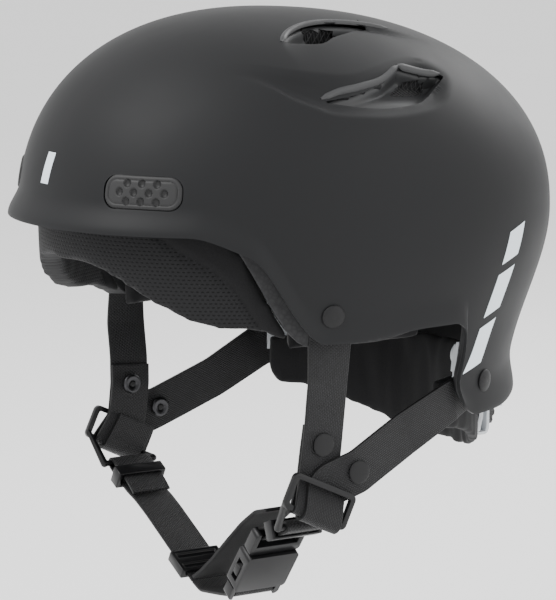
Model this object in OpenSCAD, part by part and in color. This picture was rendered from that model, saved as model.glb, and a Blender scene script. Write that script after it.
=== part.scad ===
// Water helmet: hard outer shell over a foam liner, riveted webbing harness with a
// side-release buckle, soft pads, and a nape cradle drawn in by a turning dial.
// Axes: +Z up, the front of the helmet faces -Y, the wearer's left is +X.
// The origin is on the mid-plane, level with the widest part of the dome.

/* [Shell] */
// Half of the shell's width at its widest level
half_width = 111; // [98:1:124]
// Shell length ahead of the origin
front_length = 137; // [122:1:150]
// Shell length behind the origin
rear_length = 141; // [126:1:156]
// Height of the dome above the widest level
crown_height = 102; // [90:1:114]
// Wall of the moulded shell
shell_wall = 3; // [2.4:0.1:4]
// Level of the front edge
brim_z = 2; // [-4:1:8]
// Level of the lower edge beside the ears
side_z = -50; // [-56:1:-44]
// Level of the lower edge at the nape
nape_z = -95; // [-100:1:-88]
// Outward flare of the front edge
brim_flare = 5; // [0:0.5:8]

/* [Vents] */
// Centre of the outer pair of top vents, out from the mid-plane
outer_vent_x = 86; // [80:1:90]
// Centre of the inner pair of top vents, out from the mid-plane
inner_vent_x = 52; // [46:1:56]
// Length of each forehead vent plug
plug_length = 40; // [32:1:46]
// Height of each forehead vent plug
plug_height = 15.5; // [12:0.5:18]
// Diameter of a dimple in the plug
dimple_d = 3.6; // [2:0.2:4]

/* [Padding] */
// Thickness of the foam liner
liner_wall = 15; // [12:0.5:18]
// Thickness of the forehead, rear and crown pads
pad_wall = 7; // [5:0.5:9]
// Thickness of the side pads
side_pad_wall = 8; // [6:0.5:10]

/* [Harness] */
// Width of the webbing
web_w = 22; // [18:0.5:24]
// Thickness of the webbing
web_t = 1.4; // [1:0.1:1.8]
// Diameter of a strap rivet's cap
rivet_d = 11.5; // [9:0.5:14]
// Diameter of a rivet's shank
shank_d = 4.6; // [3:0.2:6]
// Diameter of a snap fastener's cap
snap_d = 11.5; // [9:0.5:13]
// Travel of the chin strap's adjuster
adjuster_travel = 24; // [10:1:30]

/* [Buckle] */
// Length of the closed buckle
buckle_length = 48; // [44:1:56]
// Thickness of the buckle's socket half
socket_t = 10; // [9:0.5:12]
// Angle through which a latch arm is pressed
latch_press = 6; // [3:1:8]

/* [Fit system] */
// Radius of the dial
dial_r = 14; // [12:0.5:16]
// Pitch radius of the dial's pinion
pitch_r = 5; // [4:0.5:6]
// Teeth on the pinion
pinion_teeth = 10; // [8:1:14]
// Radius of the pins that the cradle's arms swing on
pivot_r = 3; // [2.4:0.2:4]

/* [Hidden] */
$fn = 48;

gap = 0.3;              // free space between neighbours that don't move on each other
soft_gap = 1;           // between curved soft pieces and what they lie against
run_gap = 0.05;         // radial clearance of a turning fit

// Dome
plan_power = 2.13;      // squareness of the plan outline
dome_power = 2.24;      // squareness of the dome in section
crown_tilt = 0.077;     // the crown rises towards the front by this share
side_tuck = 0.03;       // how far the lower wall draws in at the front
rear_tuck = 0.17;       // and at the rear
tuck_depth = 85;        // depth over which it draws in
flare_height = 9;       // height of the flared rim
rear_flare = 3;
side_flare = 0.8;
ear_rise = 3.5;         // the lower edge rises this much ahead of the rear lobe

function sgn_pow(v, p) = sign(v) * pow(abs(v), p);
function ease(t) = let (c = min(1, max(0, t))) c * c * (3 - 2 * c);
function fold(th) = abs(th) > 180 ? 360 - abs(th) : abs(th);

// Level of the shell's lower edge at a bearing, 0 at the front and 180 at the rear
function shell_edge(th) =
    let (t = fold(th))
    brim_z
    + (side_z - brim_z) * (0.28 * ease((t - 44) / 22) + 0.72 * ease((t - 57) / 16))
    + ear_rise * ease((t - 78) / 18)
    + (nape_z - side_z - ear_rise) * ease((t - 105.5) / 7);

// Outward flare of the shell's rim
function flare(th, z) =
    let (t = fold(th), f = ease((shell_edge(th) + flare_height - z) / flare_height))
    f * (side_flare + (brim_flare - side_flare) * pow(max(0, cos(t)), 1.5)
         + (rear_flare - side_flare) * pow(max(0, -cos(t)), 1.5));

// Plan size at a level, as a share of the widest
function girth(th, z, t) =
    z >= 0
    ? pow(max(0, 1 - pow(min(1, z / (crown_height - t)), dome_power)), 1 / dome_power)
    : 1 - (side_tuck + (rear_tuck - side_tuck) * pow((1 - cos(th)) / 2, 1.5))
          * ease(-z / tuck_depth);

// Point on the dome at a bearing and level, a depth t inside the shell's outer face
function dome_pt(th, z, t, rim = 0) =
    let (k = girth(th, z, t), reach = cos(th) > 0 ? front_length : rear_length,
         x = (half_width - t) * sgn_pow(sin(th), 2 / plan_power) * k,
         y = -(reach - t) * sgn_pow(cos(th), 2 / plan_power) * k,
         f = rim * flare(th, z) / norm([x, y, 1]))
    [x * (1 + f), y * (1 + f), z > 0 ? z * (1 - crown_tilt * y / front_length) : z];

function dome_normal(th, z, t = 0) =
    let (n = cross(dome_pt(th + 1, z, t) - dome_pt(th - 1, z, t),
                   dome_pt(th, z + 1, t) - dome_pt(th, z - 1, t)))
    n / norm(n);

// Puts children on the dome with their z axis along its outward normal
module on_dome(th, z, t = 0) {
    n = dome_normal(th, z, t);
    translate(dome_pt(th, z, t)) rotate([0, acos(n[2]), atan2(n[1], n[0])]) children();
}

module both_sides() {
    children();
    mirror([1, 0, 0]) children();
}

// Bearings of the shell's columns, closer where the edge climbs steeply
half_bearings = concat(
    [for (i = [0:7]) 6.5 * i], [for (i = [0:8]) 51 + 2.75 * i], [79, 86, 93, 100],
    [for (i = [0:5]) 105.5 + 1.4 * i], [117, 124, 132, 141, 150, 160, 170]);
fine_bearings = concat(
    half_bearings, [180], [for (i = [len(half_bearings) - 1:-1:1]) 360 - half_bearings[i]]);
even_bearings = [for (i = [0:43]) 360 * i / 44];

// Levels of one column, from the edge to just under the pole
function levels(edge, top, low_rows, high_rows) =
    let (mid = low_rows > 0 ? max(0, edge + 8) : edge, u0 = asin(pow(mid / top, dome_power / 2)))
    concat([for (i = [0:1:low_rows - 1]) edge + (mid - edge) * i / low_rows],
           [for (i = [0:high_rows - 1])
               top * pow(sin(u0 + (90 - u0) * i / high_rows), 2 / dome_power)]);

// Closed dome skin between two depths, down to an edge given by a function of bearing
module dome_skin(t0, t1, edge, bearings, low_rows, high_rows, rim = 0) {
    cols = len(bearings);
    rows = high_rows + low_rows;
    function column(th, t) = levels(edge(th), crown_height - t, low_rows, high_rows);
    outer = [for (th = bearings) for (z = column(th, t0)) dome_pt(th, z, t0, rim)];
    inner = [for (th = bearings) for (z = column(th, t1)) dome_pt(th, z, t1, rim)];
    count = cols * rows;
    poles = [[0, 0, crown_height - t0], [0, 0, crown_height - t1]];
    faces = concat(
        [for (c = [0:cols - 1]) for (r = [0:rows - 2])
            let (a = c * rows + r, b = ((c + 1) % cols) * rows + r)
            each [[a, a + 1, b], [b, a + 1, b + 1]]],
        [for (c = [0:cols - 1]) for (r = [0:rows - 2])
            let (a = count + c * rows + r, b = count + ((c + 1) % cols) * rows + r)
            each [[a, b, a + 1], [b, b + 1, a + 1]]],
        [for (c = [0:cols - 1])
            let (a = c * rows, b = ((c + 1) % cols) * rows)
            each [[a, b, count + a], [b, count + b, count + a]]],
        [for (c = [0:cols - 1])
            let (a = c * rows + rows - 1, b = ((c + 1) % cols) * rows + rows - 1)
            each [[a, 2 * count, b], [count + a, count + b, 2 * count + 1]]]);
    polyhedron(concat(outer, inner, poles), faces);
}

// Curved slab between two bearings, two depths and two levels
module slab(th0, th1, t0, t1, top, bottom, cols = 14, rows = 4) {
    function spot(c, r, t) =
        let (th = th0 + (th1 - th0) * c / cols, z0 = bottom(th), z1 = top(th))
        dome_pt(th, z0 + (z1 - z0) * r / rows, t);
    n = (cols + 1) * (rows + 1);
    function id(c, r, s) = s * n + c * (rows + 1) + r;
    pts = [for (t = [t0, t1]) for (c = [0:cols]) for (r = [0:rows]) spot(c, r, t)];
    faces = concat(
        [for (c = [0:cols - 1]) for (r = [0:rows - 1])
            each [[id(c, r, 0), id(c, r + 1, 0), id(c + 1, r, 0)],
                  [id(c + 1, r, 0), id(c, r + 1, 0), id(c + 1, r + 1, 0)],
                  [id(c, r, 1), id(c + 1, r, 1), id(c, r + 1, 1)],
                  [id(c + 1, r, 1), id(c + 1, r + 1, 1), id(c, r + 1, 1)]]],
        [for (c = [0:cols - 1])
            each [[id(c, 0, 0), id(c + 1, 0, 0), id(c, 0, 1)],
                  [id(c + 1, 0, 0), id(c + 1, 0, 1), id(c, 0, 1)],
                  [id(c, rows, 0), id(c, rows, 1), id(c + 1, rows, 0)],
                  [id(c + 1, rows, 0), id(c, rows, 1), id(c + 1, rows, 1)]]],
        [for (r = [0:rows - 1])
            each [[id(0, r, 0), id(0, r, 1), id(0, r + 1, 0)],
                  [id(0, r + 1, 0), id(0, r, 1), id(0, r + 1, 1)],
                  [id(cols, r, 0), id(cols, r + 1, 0), id(cols, r, 1)],
                  [id(cols, r + 1, 0), id(cols, r + 1, 1), id(cols, r, 1)]]]);
    polyhedron(pts, faces);
}

// Flat webbing swept along a path; sides holds the width direction at each point
module band(path, sides, w = web_w, t = web_t) {
    last = len(path) - 1;
    function along(i) = path[min(i + 1, last)] - path[max(i - 1, 0)];
    pts = [for (i = [0:last])
        let (s = sides[i] / norm(sides[i]), n0 = cross(along(i), s), n = n0 / norm(n0))
        each [path[i] - s * w / 2 - n * t / 2, path[i] + s * w / 2 - n * t / 2,
              path[i] + s * w / 2 + n * t / 2, path[i] - s * w / 2 + n * t / 2]];
    faces = concat(
        [for (i = [0:last - 1]) for (k = [0:3])
            let (a = 4 * i + k, b = 4 * i + (k + 1) % 4)
            each [[a, a + 4, b], [b, a + 4, b + 4]]],
        [[0, 1, 2, 3], [4 * last + 3, 4 * last + 2, 4 * last + 1, 4 * last]]);
    polyhedron(pts, faces);
}

module rounded_rect(w, h, r) {
    union() {
        square([w - 2 * r, h], center = true);
        square([w, h - 2 * r], center = true);
        for (x = [-1, 1]) for (y = [-1, 1])
            translate([x * (w / 2 - r), y * (h / 2 - r)]) circle(r);
    }
}

// ---- Top vents -------------------------------------------------------------
outer_vent_z = 67;
outer_vent_lean = 47;   // from the vertical, outwards
inner_vent_z = 92;
inner_vent_lean = 25;
// Outlines: first outwards down the dome, then rearwards
outer_vent = [[4, -31], [6, -24], [9, -14], [10.5, 0], [7, 19], [-7, 40], [-9, 40],
              [-12, 16], [-3.6, 3], [2, -13]];
inner_vent = [[5.8, -36], [13, -18], [3, 0], [-6, 12], [-9.4, 4], [-9.4, -9], [-2.7, -27]];
mesh_depth = 5;

module outer_vent_prism(inset, low, high) {
    translate([outer_vent_x, 0, outer_vent_z]) rotate([0, outer_vent_lean, 0])
        translate([0, 0, low]) linear_extrude(high - low) offset(delta = -inset) polygon(outer_vent);
}

module inner_vent_prism(inset, low, high) {
    translate([inner_vent_x, 0, inner_vent_z]) rotate([0, inner_vent_lean, 0])
        translate([0, 0, low]) linear_extrude(high - low) offset(delta = -inset) polygon(inner_vent);
}

module vent_cut(inset) {
    both_sides() {
        outer_vent_prism(inset, -24, 20);
        inner_vent_prism(inset, -24, 20);
    }
}

module vent_mesh() {
    color([0.14, 0.14, 0.15]) union() {
        outer_vent_prism(1.6, -mesh_depth - 1, -mesh_depth);
        inner_vent_prism(1.6, -mesh_depth - 1, -mesh_depth);
    }
}

// ---- Forehead vent plugs ---------------------------------------------------
plug_bearing = 31.7;
plug_level = 20.6;
plug_proud = 0.9;
plug_rows = [3, 4, 3];
dimple_pitch = 7.6;

module plug_outline(grow) {
    rounded_rect(plug_height + 2 * grow, plug_length + 2 * grow, plug_height / 2 + grow - 0.01);
}

module vent_plug() {
    color([0.13, 0.13, 0.14]) difference() {
        intersection() {
            dome_skin(-plug_proud, shell_wall + 2, function (th) -4, even_bearings, 1, 9);
            on_dome(plug_bearing, plug_level)
                translate([0, 0, -12]) linear_extrude(16) plug_outline(0);
        }
        for (row = [0:2]) for (i = [0:plug_rows[row] - 1])
            on_dome(plug_bearing + (i - (plug_rows[row] - 1) / 2) * dimple_pitch / 2.28,
                    plug_level + (1 - row) * plug_height / 4, -plug_proud)
                sphere(d = dimple_d, $fn = 16);
    }
}

// ---- Shell and liner ------------------------------------------------------
front_rivet = [74.5, -37];     // bearing and level
rear_rivet = [118.2, -80];
strap_y = -38;

module outer_shell() {
    color([0.2, 0.2, 0.21]) difference() {
        dome_skin(0, shell_wall, function (th) shell_edge(th), fine_bearings, 6, 10, 1);
        vent_cut(0);
        both_sides() {
            on_dome(plug_bearing, plug_level)
                translate([0, 0, -12]) linear_extrude(16) plug_outline(gap / 2);
            for (r = [front_rivet, rear_rivet]) on_dome(r[0], r[1]) {
                cylinder(d = shank_d + 2 * run_gap, h = 14, center = true);
                // flat seat under the rivet's head
                translate([0, 0, run_gap]) cylinder(d = rivet_d + 2 * gap, h = 8);
            }
        }
    }
}

liner_out = shell_wall + soft_gap;
liner_in = liner_out + liner_wall;
liner_rear_z = -44;

// The foam shows just below the shell beside the temples and stops short of the nape
function liner_edge(th) =
    let (t = fold(th))
    brim_z + 3 + (side_z - brim_z - 5) * ease((t - 48) / 22)
    + (liner_rear_z - side_z + 2) * ease((t - 84) / 20);

module shock_liner() {
    color([0.17, 0.17, 0.18]) difference() {
        dome_skin(liner_out, liner_in, function (th) liner_edge(th), even_bearings, 4, 8);
        vent_cut(1.2);
        both_sides() {
            on_dome(plug_bearing, plug_level)
                translate([0, 0, -12]) linear_extrude(16) plug_outline(gap);
            translate([half_width - 16, strap_y - web_w / 2 - 2, side_z - 10])
                cube([20, web_w + 4, 40]);
        }
    }
}

// ---- Pads -----------------------------------------------------------------
pad_out = liner_in + soft_gap;
forehead_in = 10;        // the forehead pad hangs below the foam, close behind the brim
brow_drop = 16;
temple_drop = 44;

function forehead_bottom(th) =
    let (t = fold(th)) -brow_drop - (temple_drop - brow_drop) * ease((t - 8) / 44);
function forehead_top(th) = let (t = fold(th)) liner_edge(th) - 2.5 * soft_gap;

module forehead_pad() {
    color([0.15, 0.15, 0.16])
        slab(-61, 61, forehead_in, forehead_in + 14,
             function (th) forehead_top(th),
             function (th) min(forehead_bottom(th), forehead_top(th) - 5), 24, 4);
}

module crown_pad() {
    color([0.15, 0.15, 0.16])
        dome_skin(pad_out, pad_out + pad_wall, function (th) 64, even_bearings, 0, 5);
}

module rear_pad() {
    color([0.15, 0.15, 0.16])
        slab(138, 222, pad_out, pad_out + pad_wall,
             function (th) 26, function (th) liner_rear_z + 3, 12, 4);
}

side_front = 64;
side_rear = 103;
side_top = -10;
side_bottom = -56;

// Comfort pads on the foam beside the temples
module side_pad() {
    color([0.14, 0.14, 0.15])
        slab(side_front, side_rear, pad_out, pad_out + side_pad_wall,
             function (th) side_top, function (th) side_bottom, 12, 4);
}

// ---- Rivets ---------------------------------------------------------------
strap_depth = shell_wall + 1.7;       // from the shell's outer face to the strap's middle
anchor_depth = strap_depth + web_t / 2 + 2 * soft_gap;
anchor_wall = 1.8;
washer_wall = 1;
cap_rise = 1.7;

// Low domed cap, shank and upset tail, with the face of the shell at z = 0
module rivet(grip) {
    rotate_extrude() polygon(concat(
        [[0, -grip - 1.4], [shank_d / 2 + 1.4, -grip - 1.4], [shank_d / 2 + 1.4, -grip],
         [shank_d / 2, -grip], [shank_d / 2, gap / 2], [rivet_d / 2, gap / 2]],
        [for (i = [0:8]) [rivet_d / 2 * cos(11.25 * i), 0.5 + cap_rise * sin(11.25 * i)]]));
}

front_grip = strap_depth + web_t / 2 + gap + washer_wall + run_gap;
rear_grip = anchor_depth + anchor_wall + gap + washer_wall + run_gap;

module strap_rivets() {
    color([0.22, 0.22, 0.23]) both_sides() {
        on_dome(front_rivet[0], front_rivet[1]) rivet(front_grip);
        on_dome(rear_rivet[0], rear_rivet[1]) rivet(rear_grip);
    }
}

module washer(depth) {
    translate([0, 0, -depth]) difference() {
        cylinder(r = shank_d / 2 + 2.4, h = washer_wall);
        translate([0, 0, -1]) cylinder(d = shank_d + 2 * run_gap, h = washer_wall + 2);
    }
}

module rivet_washers() {
    color([0.6, 0.6, 0.62]) both_sides() {
        on_dome(front_rivet[0], front_rivet[1]) washer(front_grip - run_gap);
        on_dome(rear_rivet[0], rear_rivet[1]) washer(rear_grip - run_gap);
    }
}

// ---- Strap rings -----------------------------------------------------------
// A ring's own directions: outwards, down its short side (ring_down), along its bars (ring_along)
ring_c = [98, -42, -126.5];
ring_lean = 25;
ring_w = web_w + 16;
ring_h = 18;
ring_t = 2.6;
bar_r = ring_t / 2;
ring_along = [0, cos(ring_lean), -sin(ring_lean)];
ring_down = [0, -sin(ring_lean), -cos(ring_lean)];
bar_drop = ring_h / 2 - bar_r;        // from the ring's middle to each bar
eye_r = 1.6;
eye = [86, -43, -140];                // middle of the bar that the chin webbing loops round
eye_w = web_w + 6;

function ring_at(out, down, along) =
    ring_c + [out, 0, 0] + down * ring_down + along * ring_along;

module in_ring() {
    translate(ring_c) rotate([-ring_lean, 0, 0]) rotate([0, 90, 0]) children();
}

module strap_ring() {
    color([0.12, 0.12, 0.13]) union() {
        in_ring() difference() {
            translate([0, 0, -ring_t / 2]) linear_extrude(ring_t) rounded_rect(ring_h, ring_w, 3);
            translate([0, 0, -ring_t]) linear_extrude(2 * ring_t)
                rounded_rect(ring_h - 2 * ring_t, ring_w - 2 * ring_t, 1.2);
        }
        for (s = [-1, 1]) hull() {
            translate(ring_at(-0.4, bar_drop - 2, s * (ring_w / 2 - 1))) sphere(1.3, $fn = 20);
            translate(eye + [0, s * (eye_w / 2 + 0.6), 0]) sphere(eye_r + 0.4, $fn = 20);
        }
        translate(eye + [0, -eye_w / 2, 0]) rotate([-90, 0, 0]) cylinder(r = eye_r, h = eye_w);
    }
}

// ---- Side straps -----------------------------------------------------------
layer = web_t + gap;
front_shift = -2;                     // the front strap enters towards the ring's front end
rear_shift = 3.2;
snap_front = [94.2, -38, -100];       // middle of the outer webbing layer at each snap
snap_rear = [96.2, -19, -115];

// Path round the ring's lower bar: in under the top bar, out, round and back up inside
function ring_loop(out_in, radius, out_back, shift) = concat(
    [ring_at(out_in, -bar_drop - 1, shift), ring_at(out_in, -bar_drop + 1.5, shift)],
    [for (i = [0:6]) ring_at(radius * cos(30 * i), bar_drop + radius * sin(30 * i), shift)],
    [ring_at(out_back, -bar_drop + 1.5, shift), ring_at(out_back, -bar_drop - 1, shift)]);

front_in = -bar_r - gap - layer - web_t / 2;
rear_in = front_in + layer;
front_round = bar_r * sqrt(2) + gap + web_t / 2 + 0.16;
rear_round = front_round + layer;
front_back = front_in - layer;
rear_back = front_back - layer;

function shell_side(th, z) = let (n = dome_normal(th, z)) [-n[1], n[0], 0];

front_path = concat(
    [dome_pt(front_rivet[0], front_rivet[1] + 9, strap_depth),
     dome_pt(front_rivet[0], front_rivet[1], strap_depth),
     dome_pt(front_rivet[0], side_z + 1, strap_depth),
     [98.2, strap_y + 0.5, -68], [95.6, strap_y + 0.6, -86], snap_front],
    ring_loop(front_in, front_round, front_back, front_shift),
    [snap_front - [layer, 0, 0], [93.7, strap_y + 0.6, -90]]);
front_sides = concat(
    [for (i = [0:2]) shell_side(front_rivet[0], front_rivet[1])],
    [[0, 1, 0], [0, 1, 0], [0, 1, -0.12]],
    [for (i = [0:10]) ring_along], [[0, 1, -0.12], [0, 1, 0]]);

rear_start = dome_pt(rear_rivet[0] + 6, rear_rivet[1] + 3.5, strap_depth);
rear_mid = dome_pt(rear_rivet[0], rear_rivet[1], strap_depth);
rear_leave = dome_pt(rear_rivet[0] - 10, rear_rivet[1] - 6.5, strap_depth);
rear_across = [0, 0.4, -0.92];
rear_path = concat(
    [rear_start, rear_mid, rear_leave, [90.5, 12, -101], snap_rear],
    ring_loop(rear_in, rear_round, rear_back, rear_shift));
rear_sides = concat(
    [for (i = [0:2]) cross(dome_normal(rear_rivet[0], rear_rivet[1]), rear_mid - rear_start)],
    [rear_across, rear_across + [0, 0.1, 0]],
    [for (i = [0:10]) ring_along]);

module across_strap(at, r) {
    translate(at) rotate([0, 90, 0]) cylinder(r = r, h = 16, center = true);
}

snap_post = 1.6;

module front_strap() {
    color([0.16, 0.16, 0.17]) difference() {
        band(front_path, front_sides);
        on_dome(front_rivet[0], front_rivet[1])
            cylinder(d = shank_d + 2 * run_gap, h = 20, center = true);
        across_strap(snap_front, snap_post + run_gap);
    }
}

module rear_strap() {
    color([0.16, 0.16, 0.17]) difference() {
        band(rear_path, rear_sides);
        on_dome(rear_rivet[0], rear_rivet[1])
            cylinder(d = shank_d + 2 * run_gap, h = 20, center = true);
        across_strap(snap_rear, snap_post + run_gap);
    }
}

// ---- Snap fasteners ---------------------------------------------------------
snap_face = web_t / 2 + gap + 0.25;
front_back_face = web_t / 2 + layer + gap + 0.6;
rear_back_face = web_t / 2 + gap + 0.6;
snap_rise = 1.3;

module snap_cap(back) {
    rotate([0, 90, 0]) rotate_extrude() polygon(concat(
        [[0, -back - 1.2], [snap_post, -back - 1.2], [snap_post, snap_face],
         [snap_d / 2, snap_face]],
        [for (i = [0:8]) [snap_d / 2 * cos(11.25 * i),
                          snap_face + 0.4 + snap_rise * sin(11.25 * i)]]));
}

// Ring-shaped socket with a raised lip and a hollow middle
module snap_socket(back) {
    rotate([0, -90, 0]) rotate_extrude() polygon([
        [snap_post + run_gap, back], [snap_d / 2 - 0.6, back],
        [snap_d / 2 - 0.6, back + 0.7], [snap_d / 2 - 1.4, back + 1.5],
        [snap_d / 2 - 2.2, back + 1.5], [snap_post + run_gap, back + 0.8]]);
}

module snap_caps() {
    color([0.2, 0.2, 0.21]) both_sides() {
        translate(snap_front) snap_cap(front_back_face);
        translate(snap_rear) snap_cap(rear_back_face);
    }
}

module snap_sockets() {
    color([0.55, 0.55, 0.56]) both_sides() {
        translate(snap_front) snap_socket(front_back_face);
        translate(snap_rear) snap_socket(rear_back_face);
    }
}

// ---- Chin webbing ----------------------------------------------------------
// The buckle's own directions: along it from plug to socket, and out of its front face
buckle_top = [65, -43, -146];
buckle_turn = 127;
buckle_dir = [cos(buckle_turn), 0, -sin(buckle_turn)];
plug_bar_r = 1.5;
plug_bar_y = 2.5;
socket_bar_y = buckle_length - 3;
plug_bar = buckle_top + plug_bar_y * buckle_dir;
socket_bar = buckle_top + socket_bar_y * buckle_dir;
strap_foot = [-2, -43, -185.5];       // where the chin webbing turns towards the socket
eye_right = [-eye[0], eye[1], eye[2]];
chin_dir = (strap_foot - eye_right) / norm(strap_foot - eye_right);
chin_slope = atan2(-chin_dir[2], chin_dir[0]);

// Draws in the x-z plane and extends along y, centred on the chin webbing
module across_chin(w) {
    translate([0, eye[1] + w / 2, 0]) rotate([90, 0, 0]) linear_extrude(w) children();
}

module stadium(p, q, r) {
    d = q - p;
    union() {
        translate(p) circle(r);
        translate(q) circle(r);
        translate(p) rotate(atan2(d[1], d[0])) translate([0, -r]) square([norm(d), 2 * r]);
    }
}

function flat(p) = [p[0], p[2]];

// Flat strip of webbing through points of the x-z plane
function strip(path, t) =
    let (n = len(path) - 1,
         off = [for (i = [0:n])
             let (d = path[min(i + 1, n)] - path[max(i - 1, 0)])
             [-d[1], d[0]] / norm(d) * t / 2])
    concat([for (i = [0:n]) path[i] + off[i]], [for (i = [n:-1:0]) path[i] - off[i]]);

loop_in = eye_r + 0.2;

module chin_strap_left() {
    color([0.15, 0.15, 0.16]) across_chin(web_w) difference() {
        stadium(flat(eye), flat(plug_bar), loop_in + web_t);
        stadium(flat(eye), flat(plug_bar), loop_in);
    }
}

fold_length = 22;

module chin_strap_right() {
    fold_end = eye_right + fold_length * chin_dir;
    color([0.15, 0.15, 0.16]) union() {
        across_chin(web_w) difference() {
            stadium(flat(eye_right), flat(fold_end), loop_in + web_t);
            stadium(flat(eye_right), flat(fold_end), loop_in);
        }
        across_chin(web_w) polygon(strip(
            [flat(fold_end + (loop_in + web_t / 3) * chin_dir), flat(strap_foot)], web_t));
    }
}

// The part of the webbing between the adjuster and the buckle's socket
module socket_strap() {
    under = [0, -loop_in - web_t / 2];
    color([0.15, 0.15, 0.16]) union() {
        across_chin(web_w) polygon(strip(
            [flat(strap_foot) + [gap, -0.2], flat(socket_bar) + [-14, -4.6],
             flat(socket_bar) + [-6, -3.4], flat(socket_bar) + under], web_t));
        across_chin(web_w) difference() {
            translate(flat(socket_bar)) circle(loop_in + web_t);
            translate(flat(socket_bar)) circle(loop_in);
        }
    }
}

// Keeper that clamps the webbing's two layers below each ring
link_l = 7;
link_at = 10.5;

module chin_link(middle, slope) {
    translate(middle) rotate([0, slope, 0]) difference() {
        cube([link_l, web_w + 6, 2 * (loop_in + web_t) + 3.2], center = true);
        cube([link_l + 2, web_w + 2 * gap, 2 * (loop_in + web_t) + 2 * gap], center = true);
    }
}

left_dir = (plug_bar - eye) / norm(plug_bar - eye);

module chin_link_left() {
    color([0.12, 0.12, 0.13])
        chin_link(eye + link_at * left_dir, atan2(-left_dir[2], left_dir[0]));
}

module chin_link_right() {
    color([0.12, 0.12, 0.13]) chin_link(eye_right + (link_at + 1) * chin_dir, chin_slope);
}

// Two-slot slider on the single layer of webbing
adjuster_c = strap_foot - 13 * chin_dir;
adjuster_l = 15;

module strap_adjuster() {
    color([0.12, 0.12, 0.13]) translate(adjuster_c) rotate([0, chin_slope, 0]) difference() {
        cube([adjuster_l, web_w + 6, 5.4], center = true);
        cube([adjuster_l + 2, web_w + 2 * gap, web_t + 2 * gap], center = true);
        for (s = [-1, 1]) translate([s * 3.7, 0, 3]) cube([3.4, web_w + 2 * gap, 3.2], center = true);
    }
}

// Soft flap between the buckle and the wearer's skin
flap_path = [[71, -134.5], [60, -137.5], [47, -146.5], [34, -157], [20, -169], [8, -178], [0.5, -182.8]];

module chin_flap() {
    color([0.15, 0.15, 0.16]) across_chin(web_w + 2) polygon(strip(flap_path, 1.8));
}

// ---- Buckle -----------------------------------------------------------------
// Drawn flat: x across, y from the plug's bar towards the socket's, z out of the front
buckle_w = web_w + 7;
plug_t = 6;
plug_end = 15;            // where the plug's shoulder meets the socket
tongue_w = 7;
tongue_l = 20;
arm_x = 8.8;
arm_w = 3;
arm_l = 21;
latch_t = 4;
side_wall = 2.2;
socket_start = plug_end + gap;
pocket_end = plug_end + arm_l + 2;
strap_slot_w = web_w + 1.4;
plug_slot = plug_end - 5.5;
cheek_l = 16;

module in_buckle() {
    translate(buckle_top) rotate([0, buckle_turn, 0]) rotate([0, 0, -90]) children();
}

// Round bar across a buckle half, for a fold of webbing
module cross_bar(y) {
    translate([-strap_slot_w / 2 - 1, y, 0]) rotate([0, 90, 0])
        cylinder(r = plug_bar_r, h = strap_slot_w + 2);
}

module buckle_plug() {
    color([0.11, 0.11, 0.12]) in_buckle() union() {
        difference() {
            translate([0, plug_end / 2, -plug_t / 2]) linear_extrude(plug_t)
                rounded_rect(buckle_w, plug_end, 2.5);
            translate([-strap_slot_w / 2, -1, -plug_t]) cube([strap_slot_w, plug_slot + 1, 2 * plug_t]);
            for (s = [-1, 1]) translate([s * arm_x, plug_end, 0])
                cube([arm_w + 2.2, 3, latch_t + 1], center = true);
        }
        translate([-tongue_w / 2, plug_end - 1, -latch_t / 2]) cube([tongue_w, tongue_l + 1, latch_t]);
        cross_bar(plug_bar_y);
    }
}

// One latch arm, with the barbed head that shows in the socket's side window
module latch_arm(side) {
    color([0.11, 0.11, 0.12]) in_buckle() translate([side * arm_x, plug_end - 1.2, -latch_t / 2])
        linear_extrude(latch_t) polygon([
            [-side * arm_w / 2, 0], [side * arm_w / 2, 0], [side * arm_w / 2, arm_l - 11],
            [side * (buckle_w / 2 + 0.6 - arm_x), arm_l - 9.5],
            [side * (buckle_w / 2 + 0.6 - arm_x), arm_l - 4],
            [side * arm_w / 2, arm_l], [-side * arm_w / 2, arm_l]]);
}

module buckle_socket() {
    shroud_l = pocket_end + 2 - socket_start;
    color([0.11, 0.11, 0.12]) in_buckle() union() {
        difference() {
            translate([0, socket_start + shroud_l / 2, -socket_t / 2]) linear_extrude(socket_t)
                rounded_rect(buckle_w, shroud_l, 2.5);
            // pocket for the tongue and the latch arms
            translate([-buckle_w / 2 + side_wall, plug_end - 2, -latch_t / 2 - gap])
                cube([buckle_w - 2 * side_wall, pocket_end - plug_end + 2, latch_t + 2 * gap]);
            // side windows
            for (s = [-1, 1]) translate([s * buckle_w / 2, plug_end + arm_l - 8, 0])
                cube([3 * side_wall, 13, latch_t + 2 * gap], center = true);
        }
        // cheeks that carry the bar
        translate([0, 0, -plug_t / 2]) linear_extrude(plug_t) difference() {
            translate([0, buckle_length - cheek_l / 2]) rounded_rect(buckle_w, cheek_l, 2.5);
            translate([-strap_slot_w / 2, pocket_end + 2]) square([strap_slot_w, buckle_length]);
            translate([-buckle_w, 0]) square([2 * buckle_w, pocket_end + 1]);
        }
        cross_bar(socket_bar_y);
    }
}

// ---- Fit system --------------------------------------------------------------
pivot_y = 56;
pivot_z = -68;
pivot_in = 74;             // the pin's inner end
pivot_out = 84;
eye_out = 77.7;            // the two faces of the arm's boss
eye_in = 75.2;
eye_boss_r = 6.4;
pin_head_r = pivot_r + 1.2;
arm_depth = anchor_depth + anchor_wall + 4.6;
arm_wall = 2;
cradle_from = 136;

module on_pivot(x) {
    translate([x, pivot_y, pivot_z]) rotate([0, 90, 0]) children();
}

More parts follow.
